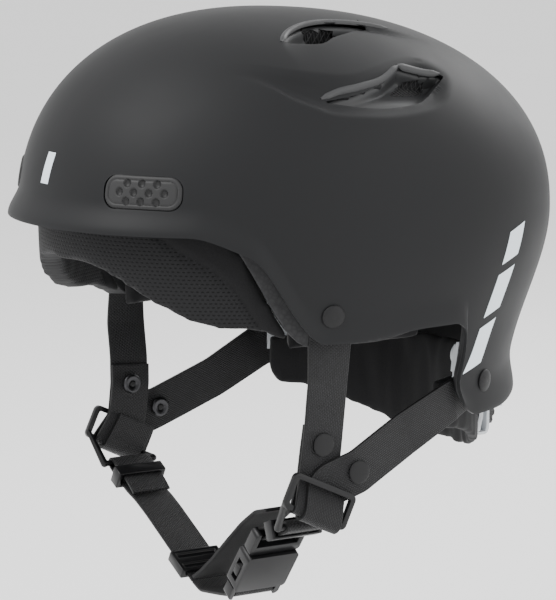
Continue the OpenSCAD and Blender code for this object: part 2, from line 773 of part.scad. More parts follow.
// Plate held by the rear rivet, with the pin that the arm swings on
module fit_anchor() {
    color([0.7, 0.7, 0.71]) union() {
        difference() {
            slab(110, 122, anchor_depth, anchor_depth + anchor_wall,
                 function (th) pivot_z + 9, function (th) rear_rivet[1] - 8, 6, 4);
            on_dome(rear_rivet[0], rear_rivet[1])
                cylinder(d = shank_d + 2 * run_gap, h = 24, center = true);
        }
        on_pivot(pivot_in) cylinder(r = pivot_r, h = pivot_out - pivot_in);
        on_pivot(pivot_in - 1.2) cylinder(r = pin_head_r, h = 1.6);
    }
}

function arm_mid(th) = pivot_z - 28 * ease((fold(th) - 112) / 28);

module fit_arm() {
    color([0.75, 0.75, 0.76]) difference() {
        union() {
            slab(114, cradle_from - 0.3, arm_depth, arm_depth + arm_wall,
                 function (th) arm_mid(th) + 6.5, function (th) arm_mid(th) - 7, 10, 3);
            on_pivot(eye_in) cylinder(r = eye_boss_r, h = eye_out - eye_in);
        }
        on_pivot(eye_in - 5) cylinder(r = pivot_r + run_gap, h = 20);
        on_pivot(eye_in - 5) cylinder(r = pin_head_r + gap, h = 5);
    }
}

dial_z = -112;
cradle_wall = 2.5;
housing_y = (rear_length - arm_depth) * (1 - rear_tuck) + gap;
housing_h = 26;
housing_w = 44;
plate_wall = 1.6;
rack_t = 3;
cover_y = housing_y + plate_wall + rack_t + 2 * gap;
cover_wall = 1.8;
knob_y = cover_y + cover_wall + gap;
knob_l = 9;
post_r = 2;
tooth_m = 2 * pitch_r / pinion_teeth;
tooth_pitch = PI * tooth_m;
rack_add = 0.5 * tooth_m;
pinion_add = 0.68 * tooth_m;
rack_h = 4;
rack_root = 0.85 * tooth_m;    // clears the tips of the pinion's teeth

module fit_cradle() {
    color([0.75, 0.75, 0.76]) difference() {
        slab(cradle_from, 360 - cradle_from, arm_depth, arm_depth + cradle_wall,
             function (th) arm_mid(cradle_from) + 7 + 2 * ease((fold(th) - 150) / 20),
             function (th) arm_mid(cradle_from) - 8 - 19 * ease((fold(th) - 142) / 22), 18, 4);
        // openings that let the nape breathe
        for (s = [-1, 1]) translate([s * 41, 80, arm_mid(cradle_from) - 4])
            rotate([-90, 0, 0]) linear_extrude(60) rounded_rect(16, 9, 4);
    }
}

// Wide cushion inside the cradle and below the arms' pins, from one side to the other
nape_front = 109;
nape_side_top = -79;
nape_side_bottom = -105;
nape_rear_drop = 23;
nape_rear_rise = 5;
nape_wall = 6;
nape_depth = arm_depth + cradle_wall + gap;

function nape_bottom(th) = let (t = fold(th)) nape_side_bottom
    - nape_rear_drop * ease((t - nape_front) / 60) + 9 * pow(1 - ease((t - nape_front) / 5), 2);

module nape_pad() {
    color([0.12, 0.12, 0.13])
        slab(nape_front, 360 - nape_front, nape_depth, nape_depth + nape_wall,
             function (th) nape_side_top + nape_rear_rise * ease((fold(th) - 125) / 25),
             function (th) nape_bottom(th), 30, 4);
}

module around_dial(y) {
    translate([0, y, dial_z]) rotate([-90, 0, 0]) children();
}

// Back plate, post and cover, with an open channel for the two racks
module dial_housing() {
    color([0.7, 0.7, 0.71]) difference() {
        union() {
            around_dial(housing_y) linear_extrude(cover_y + cover_wall - housing_y)
                rounded_rect(housing_w, housing_h, 6);
            around_dial(housing_y) cylinder(r = post_r, h = knob_y + knob_l - 3 - housing_y);
        }
        around_dial(housing_y + plate_wall) linear_extrude(cover_y - housing_y - plate_wall)
            difference() {
                square([housing_w + 2, 2 * (pitch_r + rack_h + gap) + 1.6], center = true);
                circle(post_r);
            }
        around_dial(cover_y - 1) linear_extrude(cover_wall + 2) difference() {
            circle(pitch_r + pinion_add + gap);
            circle(post_r);
        }
    }
}

// Half of the angle across a tooth at radius r, on an involute flank
base_r = pitch_r * cos(20);
function roll(r) = let (a = acos(base_r / r)) tan(a) * 180 / PI - a;
function half_tooth(r) = 0.38 * 180 / pinion_teeth + roll(pitch_r) - roll(max(r, base_r));

function tooth_side(s, i) =
    [for (r = [pitch_r - tooth_m, base_r, pitch_r, pitch_r + pinion_add])
        let (a = i * 360 / pinion_teeth + s * half_tooth(r)) [r * cos(a), r * sin(a)]];

module pinion_outline() {
    union() {
        circle(pitch_r - tooth_m + 0.02);
        for (i = [0:pinion_teeth - 1])
            polygon(concat([[0, 0]], tooth_side(-1, i),
                           [for (k = [3:-1:0]) tooth_side(1, i)[k]]));
    }
}

grip_count = 16;
click_r = 10.6;            // inside of the dial's click ring
click_count = 20;

module dial_knob() {
    color([0.13, 0.13, 0.14]) difference() {
        union() {
            around_dial(knob_y) cylinder(r = dial_r, h = knob_l);
            around_dial(housing_y + plate_wall + gap) rotate(90 - 180 / pinion_teeth)
                linear_extrude(knob_y + 1 - housing_y - plate_wall - gap) pinion_outline();
        }
        around_dial(housing_y) cylinder(r = post_r + run_gap, h = 40);
        around_dial(knob_y + knob_l - 3) cylinder(r = 4.4, h = 10);
        around_dial(knob_y - 1) linear_extrude(3.4) difference() {
            union() {
                circle(click_r);
                for (i = [0:click_count - 1]) rotate(i * 360 / click_count)
                    translate([click_r, 0]) circle(0.7, $fn = 16);
            }
            circle(pitch_r + pinion_add + 0.8);
        }
        for (i = [0:grip_count - 1]) around_dial(knob_y + 1.5)
            rotate(i * 360 / grip_count) translate([dial_r + 1, 0, 0])
            cylinder(r = 1.9, h = 20, $fn = 24);
    }
}

module dial_screw() {
    color([0.6, 0.6, 0.62]) around_dial(knob_y + knob_l - 3 + run_gap) difference() {
        cylinder(r = 3.8, h = 2);
        translate([0, 0, 1]) linear_extrude(3) for (a = [0, 90]) rotate(a) square([4.6, 1], center = true);
    }
}

// Leaf that drops into the dial's click ring
module click_spring() {
    color([0.6, 0.6, 0.62]) around_dial(knob_y) linear_extrude(2) union() {
        difference() {
            circle(click_r - 0.5);
            circle(click_r - 1.1);
            rotate(40) translate([-20, -40]) square([40, 40]);
            rotate(140) translate([-20, 0]) square([40, 40]);
        }
        rotate(5 * 360 / click_count) translate([click_r - 0.5, 0]) circle(0.55, $fn = 16);
    }
}

rack_reach = 36;
rack_back = 9;
rack_teeth = 11;

// Rack over the pinion; side 1 is the wearer's left
module fit_rack(side) {
    color([0.78, 0.78, 0.79]) around_dial(housing_y + plate_wall + gap)
        rotate(side > 0 ? 0 : 180) mirror([0, 1, 0]) linear_extrude(rack_t) union() {
            translate([-rack_back, pitch_r + rack_root])
                square([rack_reach + rack_back, rack_h - rack_root]);
            for (i = [-2:rack_teeth - 3]) translate([i * tooth_pitch, pitch_r]) polygon([
                [-0.21 * tooth_pitch + rack_add * tan(20), -rack_add],
                [0.21 * tooth_pitch - rack_add * tan(20), -rack_add],
                [0.21 * tooth_pitch + 1.4 * tooth_m * tan(20), 1.4 * tooth_m],
                [-0.21 * tooth_pitch - 1.4 * tooth_m * tan(20), 1.4 * tooth_m]]);
        }
}

// ---- The parts ---------------------------------------------------------------
outer_shell();
shock_liner();
forehead_pad();
crown_pad();
rear_pad();
side_pad();  // side_pad_left
mirror([1, 0, 0]) side_pad();  // side_pad_right
vent_plug();  // vent_plug_left
mirror([1, 0, 0]) vent_plug();  // vent_plug_right
vent_mesh();  // vent_mesh_left
mirror([1, 0, 0]) vent_mesh();  // vent_mesh_right
strap_rivets();
rivet_washers();
front_strap();  // front_strap_left
mirror([1, 0, 0]) front_strap();  // front_strap_right
rear_strap();  // rear_strap_left
mirror([1, 0, 0]) rear_strap();  // rear_strap_right
snap_caps();
snap_sockets();
strap_ring();  // strap_ring_left
mirror([1, 0, 0]) strap_ring();  // strap_ring_right
chin_link_left();
chin_link_right();
chin_strap_left();
chin_strap_right();
socket_strap();
chin_flap();
strap_adjuster();
buckle_plug();
latch_arm(1);  // latch_arm_front
latch_arm(-1);  // latch_arm_rear
buckle_socket();
fit_anchor();  // fit_anchor_left
mirror([1, 0, 0]) fit_anchor();  // fit_anchor_right
fit_arm();  // fit_arm_left
mirror([1, 0, 0]) fit_arm();  // fit_arm_right
fit_cradle();
nape_pad();
dial_housing();
dial_knob();
dial_screw();
fit_rack(1);  // fit_rack_left
fit_rack(-1);  // fit_rack_right
click_spring();
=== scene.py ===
import math

import bmesh
import bpy
import numpy as np
from mathutils import Matrix, Vector, noise


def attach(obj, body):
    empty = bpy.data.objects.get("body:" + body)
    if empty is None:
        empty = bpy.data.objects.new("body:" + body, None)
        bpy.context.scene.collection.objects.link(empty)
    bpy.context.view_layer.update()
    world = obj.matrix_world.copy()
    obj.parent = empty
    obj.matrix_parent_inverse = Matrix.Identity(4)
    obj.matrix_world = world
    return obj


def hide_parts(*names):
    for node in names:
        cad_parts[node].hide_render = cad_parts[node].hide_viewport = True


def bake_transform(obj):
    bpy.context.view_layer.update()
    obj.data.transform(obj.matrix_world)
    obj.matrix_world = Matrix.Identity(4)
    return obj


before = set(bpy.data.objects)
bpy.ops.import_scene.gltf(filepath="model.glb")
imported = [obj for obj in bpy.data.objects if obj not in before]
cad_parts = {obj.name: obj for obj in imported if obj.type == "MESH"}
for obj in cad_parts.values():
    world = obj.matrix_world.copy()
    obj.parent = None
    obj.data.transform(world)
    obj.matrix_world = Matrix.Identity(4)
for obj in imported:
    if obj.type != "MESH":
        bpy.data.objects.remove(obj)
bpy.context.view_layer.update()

bl_info = {
    "name": "Water helmet",
    "version": (1, 0, 0),
    "blender": (4, 5, 0),
    "location": "View3D > Sidebar > Helmet",
    "description": "Builds the shell, padding, harness, buckle and nape fit system"
                   " of a water helmet",
    "category": "Object",
}

MM = 0.001
SIDES = ((1, "left"), (-1, "right"))


# ---------------------------------------------------------------- settings

class HelmetSizes(bpy.types.PropertyGroup):
    """Sizes of the shell and the soft pieces"""
    half_width: bpy.props.FloatProperty(
        name="Half width", description="Half of the shell's width at its widest level",
        default=0.111, min=0.09, max=0.13, unit="LENGTH")
    front_length: bpy.props.FloatProperty(
        name="Front length", description="Shell length ahead of the origin",
        default=0.137, min=0.11, max=0.16, unit="LENGTH")
    rear_length: bpy.props.FloatProperty(
        name="Rear length", description="Shell length behind the origin",
        default=0.141, min=0.11, max=0.16, unit="LENGTH")
    crown_height: bpy.props.FloatProperty(
        name="Crown height", description="Height of the dome above the widest level",
        default=0.102, min=0.08, max=0.12, unit="LENGTH")
    shell_wall: bpy.props.FloatProperty(
        name="Shell wall", description="Thickness of the moulded shell",
        default=0.003, min=0.002, max=0.005, unit="LENGTH")
    web_width: bpy.props.FloatProperty(
        name="Webbing width", description="Width of the straps",
        default=0.022, min=0.015, max=0.03, unit="LENGTH")
    web_wall: bpy.props.FloatProperty(
        name="Webbing thickness", description="Thickness of the straps",
        default=0.0014, min=0.0008, max=0.003, unit="LENGTH")
    swell: bpy.props.FloatProperty(
        name="Pad swell", description="Cloth pressure that fills the pads",
        default=4.0, min=0.0, max=12.0)


class HelmetColours(bpy.types.PropertyGroup):
    """Colours of the finishes"""
    shell: bpy.props.FloatVectorProperty(
        name="Shell", description="Matte moulded shell", subtype="COLOR",
        default=(0.0080, 0.0083, 0.0090), size=3, min=0, max=1)
    mark: bpy.props.FloatVectorProperty(
        name="Marks", description="Printed marks on the shell", subtype="COLOR",
        default=(0.72, 0.79, 0.84), size=3, min=0, max=1)
    webbing: bpy.props.FloatVectorProperty(
        name="Webbing", description="Woven straps", subtype="COLOR",
        default=(0.0048, 0.0048, 0.0054), size=3, min=0, max=1)
    knit: bpy.props.FloatVectorProperty(
        name="Knit", description="Knitted cover of the pads", subtype="COLOR",
        default=(0.006, 0.006, 0.0065), size=3, min=0, max=1)
    fit: bpy.props.FloatVectorProperty(
        name="Fit plastic", description="Light plastic of the nape fit system", subtype="COLOR",
        default=(0.50, 0.52, 0.54), size=3, min=0, max=1)


def sizes():
    return bpy.context.scene.helmet_sizes


def colours():
    return bpy.context.scene.helmet_colours


# ---------------------------------------------------------------- the dome

PLAN_POWER = 2.13          # squareness of the plan outline
DOME_POWER = 2.24          # squareness of the dome in section
CROWN_TILT = 0.077         # the crown rises towards the front by this share
SIDE_TUCK = 0.03           # how far the lower wall draws in at the front
REAR_TUCK = 0.17           # and at the rear
TUCK_DEPTH = 85 * MM       # depth over which it draws in
BRIM_Z = 2 * MM            # lower edge at the front,
SIDE_Z = -50 * MM          # at the temples
EAR_RISE = 3.5 * MM        # its rise ahead of the rear lobe
NAPE_Z = -95 * MM          # and at the nape
REAR_STEP = 105.8          # bearing where the rear lobe starts
FLARE_FRONT = 5.5 * MM
FLARE_REAR = 3.2 * MM
FLARE_SIDE = 2.2 * MM


def ease(t):
    t = np.clip(t, 0, 1)
    return t * t * (3 - 2 * t)


def fold(deg):
    """Bearing on either side, 0 at the front and 180 at the rear."""
    return np.abs((np.asarray(deg, float) + 180) % 360 - 180)


def shell_edge(deg):
    """Level of the shell's lower edge."""
    t = fold(deg)
    sweep = 0.28 * ease((t - 44) / 22) + 0.72 * ease((t - 57) / 16)
    step = 0.7 * ease((t - REAR_STEP) / 3.6) + 0.3 * ease((t - REAR_STEP + 3.6) / 11)
    return (BRIM_Z + (SIDE_Z - BRIM_Z) * sweep + EAR_RISE * ease((t - 78) / 18)
            + (NAPE_Z - SIDE_Z - EAR_RISE) * step
            + 5 * MM * ease((t - 122) / 30))


def flare(deg, z):
    """Outward turn of the shell's rim."""
    t = np.radians(fold(deg))
    front, rear = np.clip(np.cos(t), 0, 1) ** 1.5, np.clip(-np.cos(t), 0, 1) ** 1.2
    reach = 14 * MM + 1 * MM * front + 10 * MM * rear
    f = ease((shell_edge(deg) + reach - z) / reach) ** 1.3
    return f * (FLARE_SIDE + (FLARE_FRONT - FLARE_SIDE) * front + (FLARE_REAR - FLARE_SIDE) * rear)


def signed_power(v, p):
    return np.sign(v) * np.abs(v) ** p


def dome(deg, z, depth=0.0):
    """Points at a bearing and level, a depth inside the shell's outer face."""
    s = sizes()
    deg, z, depth = np.broadcast_arrays(np.asarray(deg, float), np.asarray(z, float),
                                        np.asarray(depth, float))
    t = np.radians(deg)
    top = s.crown_height - depth
    high = np.clip(1 - np.clip(z / top, 0, 1) ** DOME_POWER, 0, 1) ** (1 / DOME_POWER)
    tuck = SIDE_TUCK + (REAR_TUCK - SIDE_TUCK) * ((1 - np.cos(t)) / 2) ** 1.5
    k = np.where(z >= 0, high, 1 - tuck * ease(-z / TUCK_DEPTH))
    reach = np.where(np.cos(t) > 0, s.front_length, s.rear_length)
    x = (s.half_width - depth) * signed_power(np.sin(t), 2 / PLAN_POWER) * k
    y = -(reach - depth) * signed_power(np.cos(t), 2 / PLAN_POWER) * k
    z = np.where(z > 0, z * (1 - CROWN_TILT * y / s.front_length), z)
    return np.stack([x, y, z], -1)


def dome_normal(deg, z, depth=0.0):
    n = np.cross(dome(deg + 0.5, z, depth) - dome(deg - 0.5, z, depth),
                 dome(deg, z + MM, depth) - dome(deg, z - MM, depth))
    return n / np.linalg.norm(n, axis=-1, keepdims=True)


def dome_place(deg, z, depth=0.0):
    """Matrix that puts local z along the dome's normal, x down it and y round it."""
    n = Vector(dome_normal(deg, z, depth).tolist())
    y = Vector((-n.y, n.x, 0)).normalized()
    m = Matrix((y.cross(n), y, n)).transposed().to_4x4()
    m.translation = Vector(dome(deg, z, depth).tolist())
    return m


# ---------------------------------------------------------------- modelling helpers

def clear():
    """Leaves edit mode with nothing selected."""
    if bpy.context.object and bpy.context.object.mode != "OBJECT":
        bpy.ops.object.mode_set(mode="OBJECT")
    bpy.ops.object.select_all(action="DESELECT")


def activate(o):
    """Makes one object the only selected and the active one."""
    clear()
    o.select_set(True)
    bpy.context.view_layer.objects.active = o


def modify(o, kind, **settings):
    """Adds a modifier and applies it."""
    activate(o)
    m = o.modifiers.new(kind.title(), kind)
    for k, v in settings.items():
        setattr(m, k, v)
    bpy.ops.object.modifier_apply(modifier=m.name)


def edit(o, *steps):
    """Runs edit-mode operators on all of a mesh."""
    activate(o)
    bpy.ops.object.mode_set(mode="EDIT")
    bpy.ops.mesh.select_all(action="SELECT")
    for step in steps:
        step()
    bpy.ops.object.mode_set(mode="OBJECT")


def round_edges(o, width, segments=2, angle=30):
    """Bevels the edges that are sharper than an angle."""
    modify(o, "BEVEL", width=width, segments=segments, limit_method="ANGLE",
           angle_limit=math.radians(angle), use_clamp_overlap=True)


def flip(o):
    """Turns the faces over."""
    edit(o, lambda: bpy.ops.mesh.flip_normals())


def weld(o, distance=0.00002):
    """Merges vertices that coincide, and points the faces outwards."""
    edit(o, lambda: bpy.ops.mesh.remove_doubles(threshold=distance),
         lambda: bpy.ops.mesh.normals_make_consistent(inside=False))


def smooth(o, angle):
    """Shades smooth, apart from edges sharper than an angle."""
    activate(o)
    bpy.ops.object.shade_smooth_by_angle(angle=math.radians(angle))


def rows(items, what):
    """A vector that every vertex or face holds, one row each."""
    out = np.empty(len(items) * 3)
    items.foreach_get(what, out)
    return out.reshape(-1, 3)


def coords(o):
    """Places of the vertices."""
    return rows(o.data.vertices, "co")


def set_coords(o, co):
    """Moves the vertices to new places."""
    o.data.vertices.foreach_set("co", np.asarray(co, float).ravel())
    o.data.update()


def lattice(name, across, up):
    """A flat grid, and the shares across and up it where each vertex lies."""
    clear()
    bpy.ops.mesh.primitive_grid_add(x_subdivisions=across, y_subdivisions=up, size=2)
    o = bpy.context.object
    o.name = name
    co = coords(o)
    return o, (co[:, 0] + 1) / 2, (co[:, 1] + 1) / 2


def grid_uv(o, u, v):
    """Stores the grid's own directions, in metres, as the piece's UV map."""
    layer = o.data.uv_layers.active or o.data.uv_layers.new(name="UVMap")
    index = np.empty(len(o.data.loops), int)
    o.data.loops.foreach_get("vertex_index", index)
    layer.data.foreach_set("uv", np.stack([u[index], v[index]], -1).ravel())


def join(objects, name):
    """Joins meshes into one object."""
    clear()
    for o in objects:
        o.select_set(True)
    bpy.context.view_layer.objects.active = objects[0]
    bpy.ops.object.join()
    objects[0].name = name
    return objects[0]


def dress(o, material, body="helmet", nodes=()):
    """Gives a piece its material, the body that it moves with and the nodes it stands for."""
    o.data.materials.clear()
    o.data.materials.append(material)
    if nodes:
        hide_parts(*nodes)
    if body:
        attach(o, body)
    return o


def refined(node, bevel):
    """A merged copy of a CAD node's mesh with its edges rounded."""
    clear()
    o = bpy.data.objects.new(node + "_shape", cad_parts[node].data.copy())
    bpy.context.scene.collection.objects.link(o)
    o.data.materials.clear()
    edit(o, lambda: bpy.ops.mesh.remove_doubles(threshold=0.00001),
         lambda: bpy.ops.mesh.dissolve_limited(angle_limit=math.radians(1.5)))
    if bevel:
        round_edges(o, bevel)
    smooth(o, 40)
    return o


# ---------------------------------------------------------------- shader groups

def new_group(name, inputs, outputs):
    """An empty shader group with its sockets, and its input and output nodes."""
    g = bpy.data.node_groups.new(name, "ShaderNodeTree")
    for label, kind, default in inputs:
        s = g.interface.new_socket(label, in_out="INPUT", socket_type=kind)
        if default is not None:
            s.default_value = default
    for label, kind in outputs:
        g.interface.new_socket(label, in_out="OUTPUT", socket_type=kind)
    return g, g.nodes.new("NodeGroupInput"), g.nodes.new("NodeGroupOutput")


def add(tree, kind, **settings):
    """A shader node with its sockets or properties set by name."""
    n = tree.nodes.new(kind)
    for k, v in settings.items():
        if k in n.inputs:
            n.inputs[k].default_value = v
        else:
            setattr(n, k, v)
    return n


def feed(tree, socket, value):
    """Links a socket to another's output, or sets it to a number or colour."""
    if isinstance(value, tuple):
        socket.default_value = (*value, 1)
    elif isinstance(value, (int, float)):
        socket.default_value = value
    else:
        tree.links.new(value, socket)


def maths(tree, operation, a, b=None, clamp=False):
    """One step of arithmetic on sockets or numbers."""
    n = tree.nodes.new("ShaderNodeMath")
    n.operation, n.use_clamp = operation, clamp
    for socket, value in zip(n.inputs, (a, b)):
        if value is not None:
            feed(tree, socket, value)
    return n.outputs[0]


def grain_group():
    """Fine moulded grain with slow patches: a height and a patch mask."""
    g, i, o = new_group("moulded grain", [("Vector", "NodeSocketVector", None),
                                          ("Fineness", "NodeSocketFloat", 2600.0)],
                        [("Height", "NodeSocketFloat"), ("Patches", "NodeSocketFloat")])
    fine = add(g, "ShaderNodeTexNoise", Detail=3.0, Roughness=0.6)
    slow = add(g, "ShaderNodeTexNoise", Scale=14.0, Detail=4.0, Roughness=0.55)
    g.links.new(i.outputs["Vector"], fine.inputs["Vector"])
    g.links.new(i.outputs["Fineness"], fine.inputs["Scale"])
    g.links.new(i.outputs["Vector"], slow.inputs["Vector"])
    g.links.new(fine.outputs["Fac"], o.inputs["Height"])
    g.links.new(slow.outputs["Fac"], o.inputs["Patches"])
    return g


def scuff_group():
    """Sparse hairline scuffs, as a mask."""
    g, i, o = new_group("scuffs", [("Vector", "NodeSocketVector", None),
                                   ("Amount", "NodeSocketFloat", 0.5)],
                        [("Mask", "NodeSocketFloat")])
    stretch = add(g, "ShaderNodeMapping")
    stretch.inputs["Scale"].default_value = (26, 190, 60)
    stretch.inputs["Rotation"].default_value = (0.3, 0.5, 0.7)
    lines = add(g, "ShaderNodeTexNoise", Scale=1.0, Detail=5.0, Roughness=0.7)
    where = add(g, "ShaderNodeTexNoise", Scale=22.0, Detail=2.0)
    g.links.new(i.outputs["Vector"], stretch.inputs["Vector"])
    g.links.new(stretch.outputs["Vector"], lines.inputs["Vector"])
    g.links.new(i.outputs["Vector"], where.inputs["Vector"])
    thin = maths(g, "SUBTRACT", lines.outputs["Fac"], 0.66, clamp=True)
    spots = maths(g, "SUBTRACT", where.outputs["Fac"], 0.52, clamp=True)
    both = maths(g, "MULTIPLY", thin, spots)
    strong = maths(g, "MULTIPLY", both, 60.0)
    g.links.new(maths(g, "MULTIPLY", strong, i.outputs["Amount"], clamp=True), o.inputs["Mask"])
    return g


def edge_group():
    """Slight polish on convex edges, as a mask."""
    g, i, o = new_group("edge polish", [("Low", "NodeSocketFloat", 0.52),
                                        ("High", "NodeSocketFloat", 0.62)],
                        [("Mask", "NodeSocketFloat")])
    geometry = add(g, "ShaderNodeNewGeometry")
    polish = add(g, "ShaderNodeMapRange")
    g.links.new(geometry.outputs["Pointiness"], polish.inputs["Value"])
    g.links.new(i.outputs["Low"], polish.inputs["From Min"])
    g.links.new(i.outputs["High"], polish.inputs["From Max"])
    g.links.new(polish.outputs["Result"], o.inputs["Mask"])
    return g


def weave_group():
    """Plain narrow-fabric weave on UV in metres: a height and a thread shade."""
    g, i, o = new_group("webbing weave", [("UV", "NodeSocketVector", None),
                                          ("Across", "NodeSocketFloat", 1100.0),
                                          ("Along", "NodeSocketFloat", 620.0)],
                        [("Height", "NodeSocketFloat"), ("Shade", "NodeSocketFloat")])
    split = add(g, "ShaderNodeSeparateXYZ")
    g.links.new(i.outputs["UV"], split.inputs[0])
    u = maths(g, "MULTIPLY", split.outputs[0], i.outputs["Across"])
    v = maths(g, "MULTIPLY", split.outputs[1], i.outputs["Along"])
    column = maths(g, "FLOOR", u)
    odd = maths(g, "MULTIPLY", maths(g, "MODULO", column, 2.0), 0.5)
    row = maths(g, "FRACT", maths(g, "ADD", v, odd))
    across = maths(g, "FRACT", u)
    hump_u = maths(g, "SINE", maths(g, "MULTIPLY", across, math.pi))
    hump_v = maths(g, "SINE", maths(g, "MULTIPLY", row, math.pi))
    height = maths(g, "MULTIPLY", hump_u, maths(g, "POWER", hump_v, 0.6))
    tint = add(g, "ShaderNodeTexWhiteNoise", noise_dimensions="2D")
    cell = add(g, "ShaderNodeCombineXYZ")
    g.links.new(column, cell.inputs[0])
    g.links.new(maths(g, "FLOOR", maths(g, "ADD", v, odd)), cell.inputs[1])
    g.links.new(cell.outputs[0], tint.inputs["Vector"])
    g.links.new(height, o.inputs["Height"])
    g.links.new(tint.outputs["Value"], o.inputs["Shade"])
    return g


def knit_group():
    """Spacer knit with rows of small oval eyelets, projected along the surface: height, holes."""
    g, i, o = new_group("spacer knit", [("UV", "NodeSocketVector", None),
                                        ("Pitch", "NodeSocketFloat", 420.0)],
                        [("Height", "NodeSocketFloat"), ("Holes", "NodeSocketFloat")])
    split = add(g, "ShaderNodeSeparateXYZ")
    g.links.new(i.outputs["UV"], split.inputs[0])
    v = maths(g, "MULTIPLY", maths(g, "MULTIPLY", split.outputs[1], i.outputs["Pitch"]), 1.25)
    odd = maths(g, "MULTIPLY", maths(g, "MODULO", maths(g, "FLOOR", v), 2.0), 0.5)
    u = maths(g, "ADD", maths(g, "MULTIPLY", split.outputs[0], i.outputs["Pitch"]), odd)
    du = maths(g, "SUBTRACT", maths(g, "FRACT", u), 0.5)
    dv = maths(g, "SUBTRACT", maths(g, "FRACT", v), 0.5)
    far = maths(g, "SQRT", maths(g, "ADD", maths(g, "MULTIPLY", du, du),
                                 maths(g, "MULTIPLY", maths(g, "MULTIPLY", dv, dv), 1.8)))
    hole = add(g, "ShaderNodeMapRange")
    hole.inputs["From Min"].default_value = 0.36
    hole.inputs["From Max"].default_value = 0.20
    g.links.new(far, hole.inputs["Value"])
    g.links.new(maths(g, "SUBTRACT", 1.0, hole.outputs["Result"]), o.inputs["Height"])
    g.links.new(hole.outputs["Result"], o.inputs["Holes"])
    return g


MAKERS = {"grain": grain_group, "scuffs": scuff_group, "edges": edge_group,
          "weave": weave_group, "knit": knit_group}
GROUPS = {}


def place_group(tree, name, source=None, **values):
    """Places a shader group, built on first use, with its coordinates and its own values."""
    if name not in GROUPS:
        GROUPS[name] = MAKERS[name]()
    n = tree.nodes.new("ShaderNodeGroup")
    n.node_tree = GROUPS[name]
    if source is not None:
        tree.links.new(source, n.inputs[0])
    for k, v in values.items():
        n.inputs[k].default_value = v
    return n


def begin(name, roughness=0.5, metallic=0.0):
    """A new material with its tree, its shader and its coordinates."""
    m = bpy.data.materials.new(name)
    m.use_nodes = True
    t = m.node_tree
    shader = t.nodes["Principled BSDF"]
    shader.inputs["Roughness"].default_value = roughness
    shader.inputs["Metallic"].default_value = metallic
    where = t.nodes.new("ShaderNodeTexCoord")
    return m, t, shader, where


def ramp(tree, source, low, high, start=0.0, end=1.0):
    """Colour between two tones as the source goes from start to end."""
    n = tree.nodes.new("ShaderNodeValToRGB")
    n.color_ramp.elements[0].position, n.color_ramp.elements[1].position = start, end
    n.color_ramp.elements[0].color = (*low, 1)
    n.color_ramp.elements[1].color = (*high, 1)
    tree.links.new(source, n.inputs["Fac"])
    return n.outputs["Color"]


def spread(tree, source, low, high, start=0.0, end=1.0):
    """Number between two values as the source goes from start to end."""
    n = add(tree, "ShaderNodeMapRange")
    n.inputs["From Min"].default_value = start
    n.inputs["From Max"].default_value = end
    n.inputs["To Min"].default_value = low
    n.inputs["To Max"].default_value = high
    tree.links.new(source, n.inputs["Value"])
    return n.outputs["Result"]


def blend_colours(tree, factor, a, b, how="MIX"):
    """One colour mixed over another by a factor."""
    n = tree.nodes.new("ShaderNodeMix")
    n.data_type, n.blend_type = "RGBA", how
    feed(tree, n.inputs["Factor"], factor)
    for socket, value in zip([s for s in n.inputs if s.type == "RGBA"], (a, b)):
        feed(tree, socket, value)
    return [s for s in n.outputs if s.type == "RGBA"][0]


def bump(tree, shader, height, strength, distance):
    """Relief on the shader's normal from a height."""
    n = add(tree, "ShaderNodeBump", Strength=strength, Distance=distance)
    tree.links.new(height, n.inputs["Height"])
    tree.links.new(n.outputs["Normal"], shader.inputs["Normal"])


def scaled(colour, k):
    """A colour made darker or lighter."""
    return tuple(min(1.0, c * k) for c in colour)


# ---------------------------------------------------------------- shell

# Vents are drawn in a plane square to the dome: first number down the dome, second to the rear
OUTER_VENT = dict(at=(86, 0, 67), lean=47, outline=[
    (3.6, -33), (6.5, -24), (9.5, -12), (10.5, 2), (9.2, 14), (6, 24), (-6.5, 40.5), (-9.5, 41),
    (-11.2, 29), (-12.4, 17.2), (-11.6, 15.4), (-7.6, 9), (-3.6, 3), (-0.6, -5), (2, -14),
    (3, -24)])
INNER_VENT = dict(at=(52, 0, 92), lean=25, outline=[
    (5.5, -37), (9.5, -28), (11.5, -18), (6.5, -9), (2, 1), (-3.5, 11), (-7.2, 20), (-9.6, 14),
    (-10.2, 4), (-9.6, -8), (-6.6, -19), (-1.2, -29)])
# Crease above the valley that holds the outer vent, and the soft line below it
CREASE = [(-30.5, -82), (-25.1, -69), (-18.9, -56), (-12.7, -45), (-7.6, -32), (-4.6, -16),
          (-8.4, 0), (-13.6, 14), (-16.5, 27), (-15, 42)]
GROOVE = [(-22, -82), (-14.6, -66), (-5.9, -56), (3.0, -48), (9.3, -39), (14.2, -30),
          (17.0, -15), (17.9, 0), (16.2, 15), (11, 31), (-3, 46)]
# Crest of the ridge beside the inner vent
RIDGE = [(6, -38), (-2, -30), (-8.0, -19), (-11.2, -7), (-11.8, 4), (-10.5, 19), (-7.4, 32),
         (-5.4, 45)]
PLUG_BEARING, PLUG_Z = 31.7, 20.6 * MM   # middle of each forehead plug
PLUG_LONG, PLUG_TALL = 40, 15.5           # in millimetres
VENTS_ABOVE = 5 * MM                      # every vent lies above this level
RIM_REACH = 3.5                           # cut edges this near an outline belong to it


def catmull(points, steps=10, closed=True):
    """Smooth curve through the points."""
    p = np.asarray(points, float)
    n = len(p)
    if not closed:
        p = np.vstack([2 * p[0] - p[1], p, 2 * p[-1] - p[-2]])
    out = []
    for i in range(n if closed else n - 1):
        a, b, c, d = (p[(i + k - 1) % n] if closed else p[i + k] for k in range(4))
        for s in np.arange(steps) / steps:
            out.append(0.5 * (2 * b + (c - a) * s + (2 * a - 5 * b + 4 * c - d) * s ** 2
                              + (3 * b - a - 3 * c + d) * s ** 3))
    if not closed:
        out.append(p[-2])
    return np.array(out)


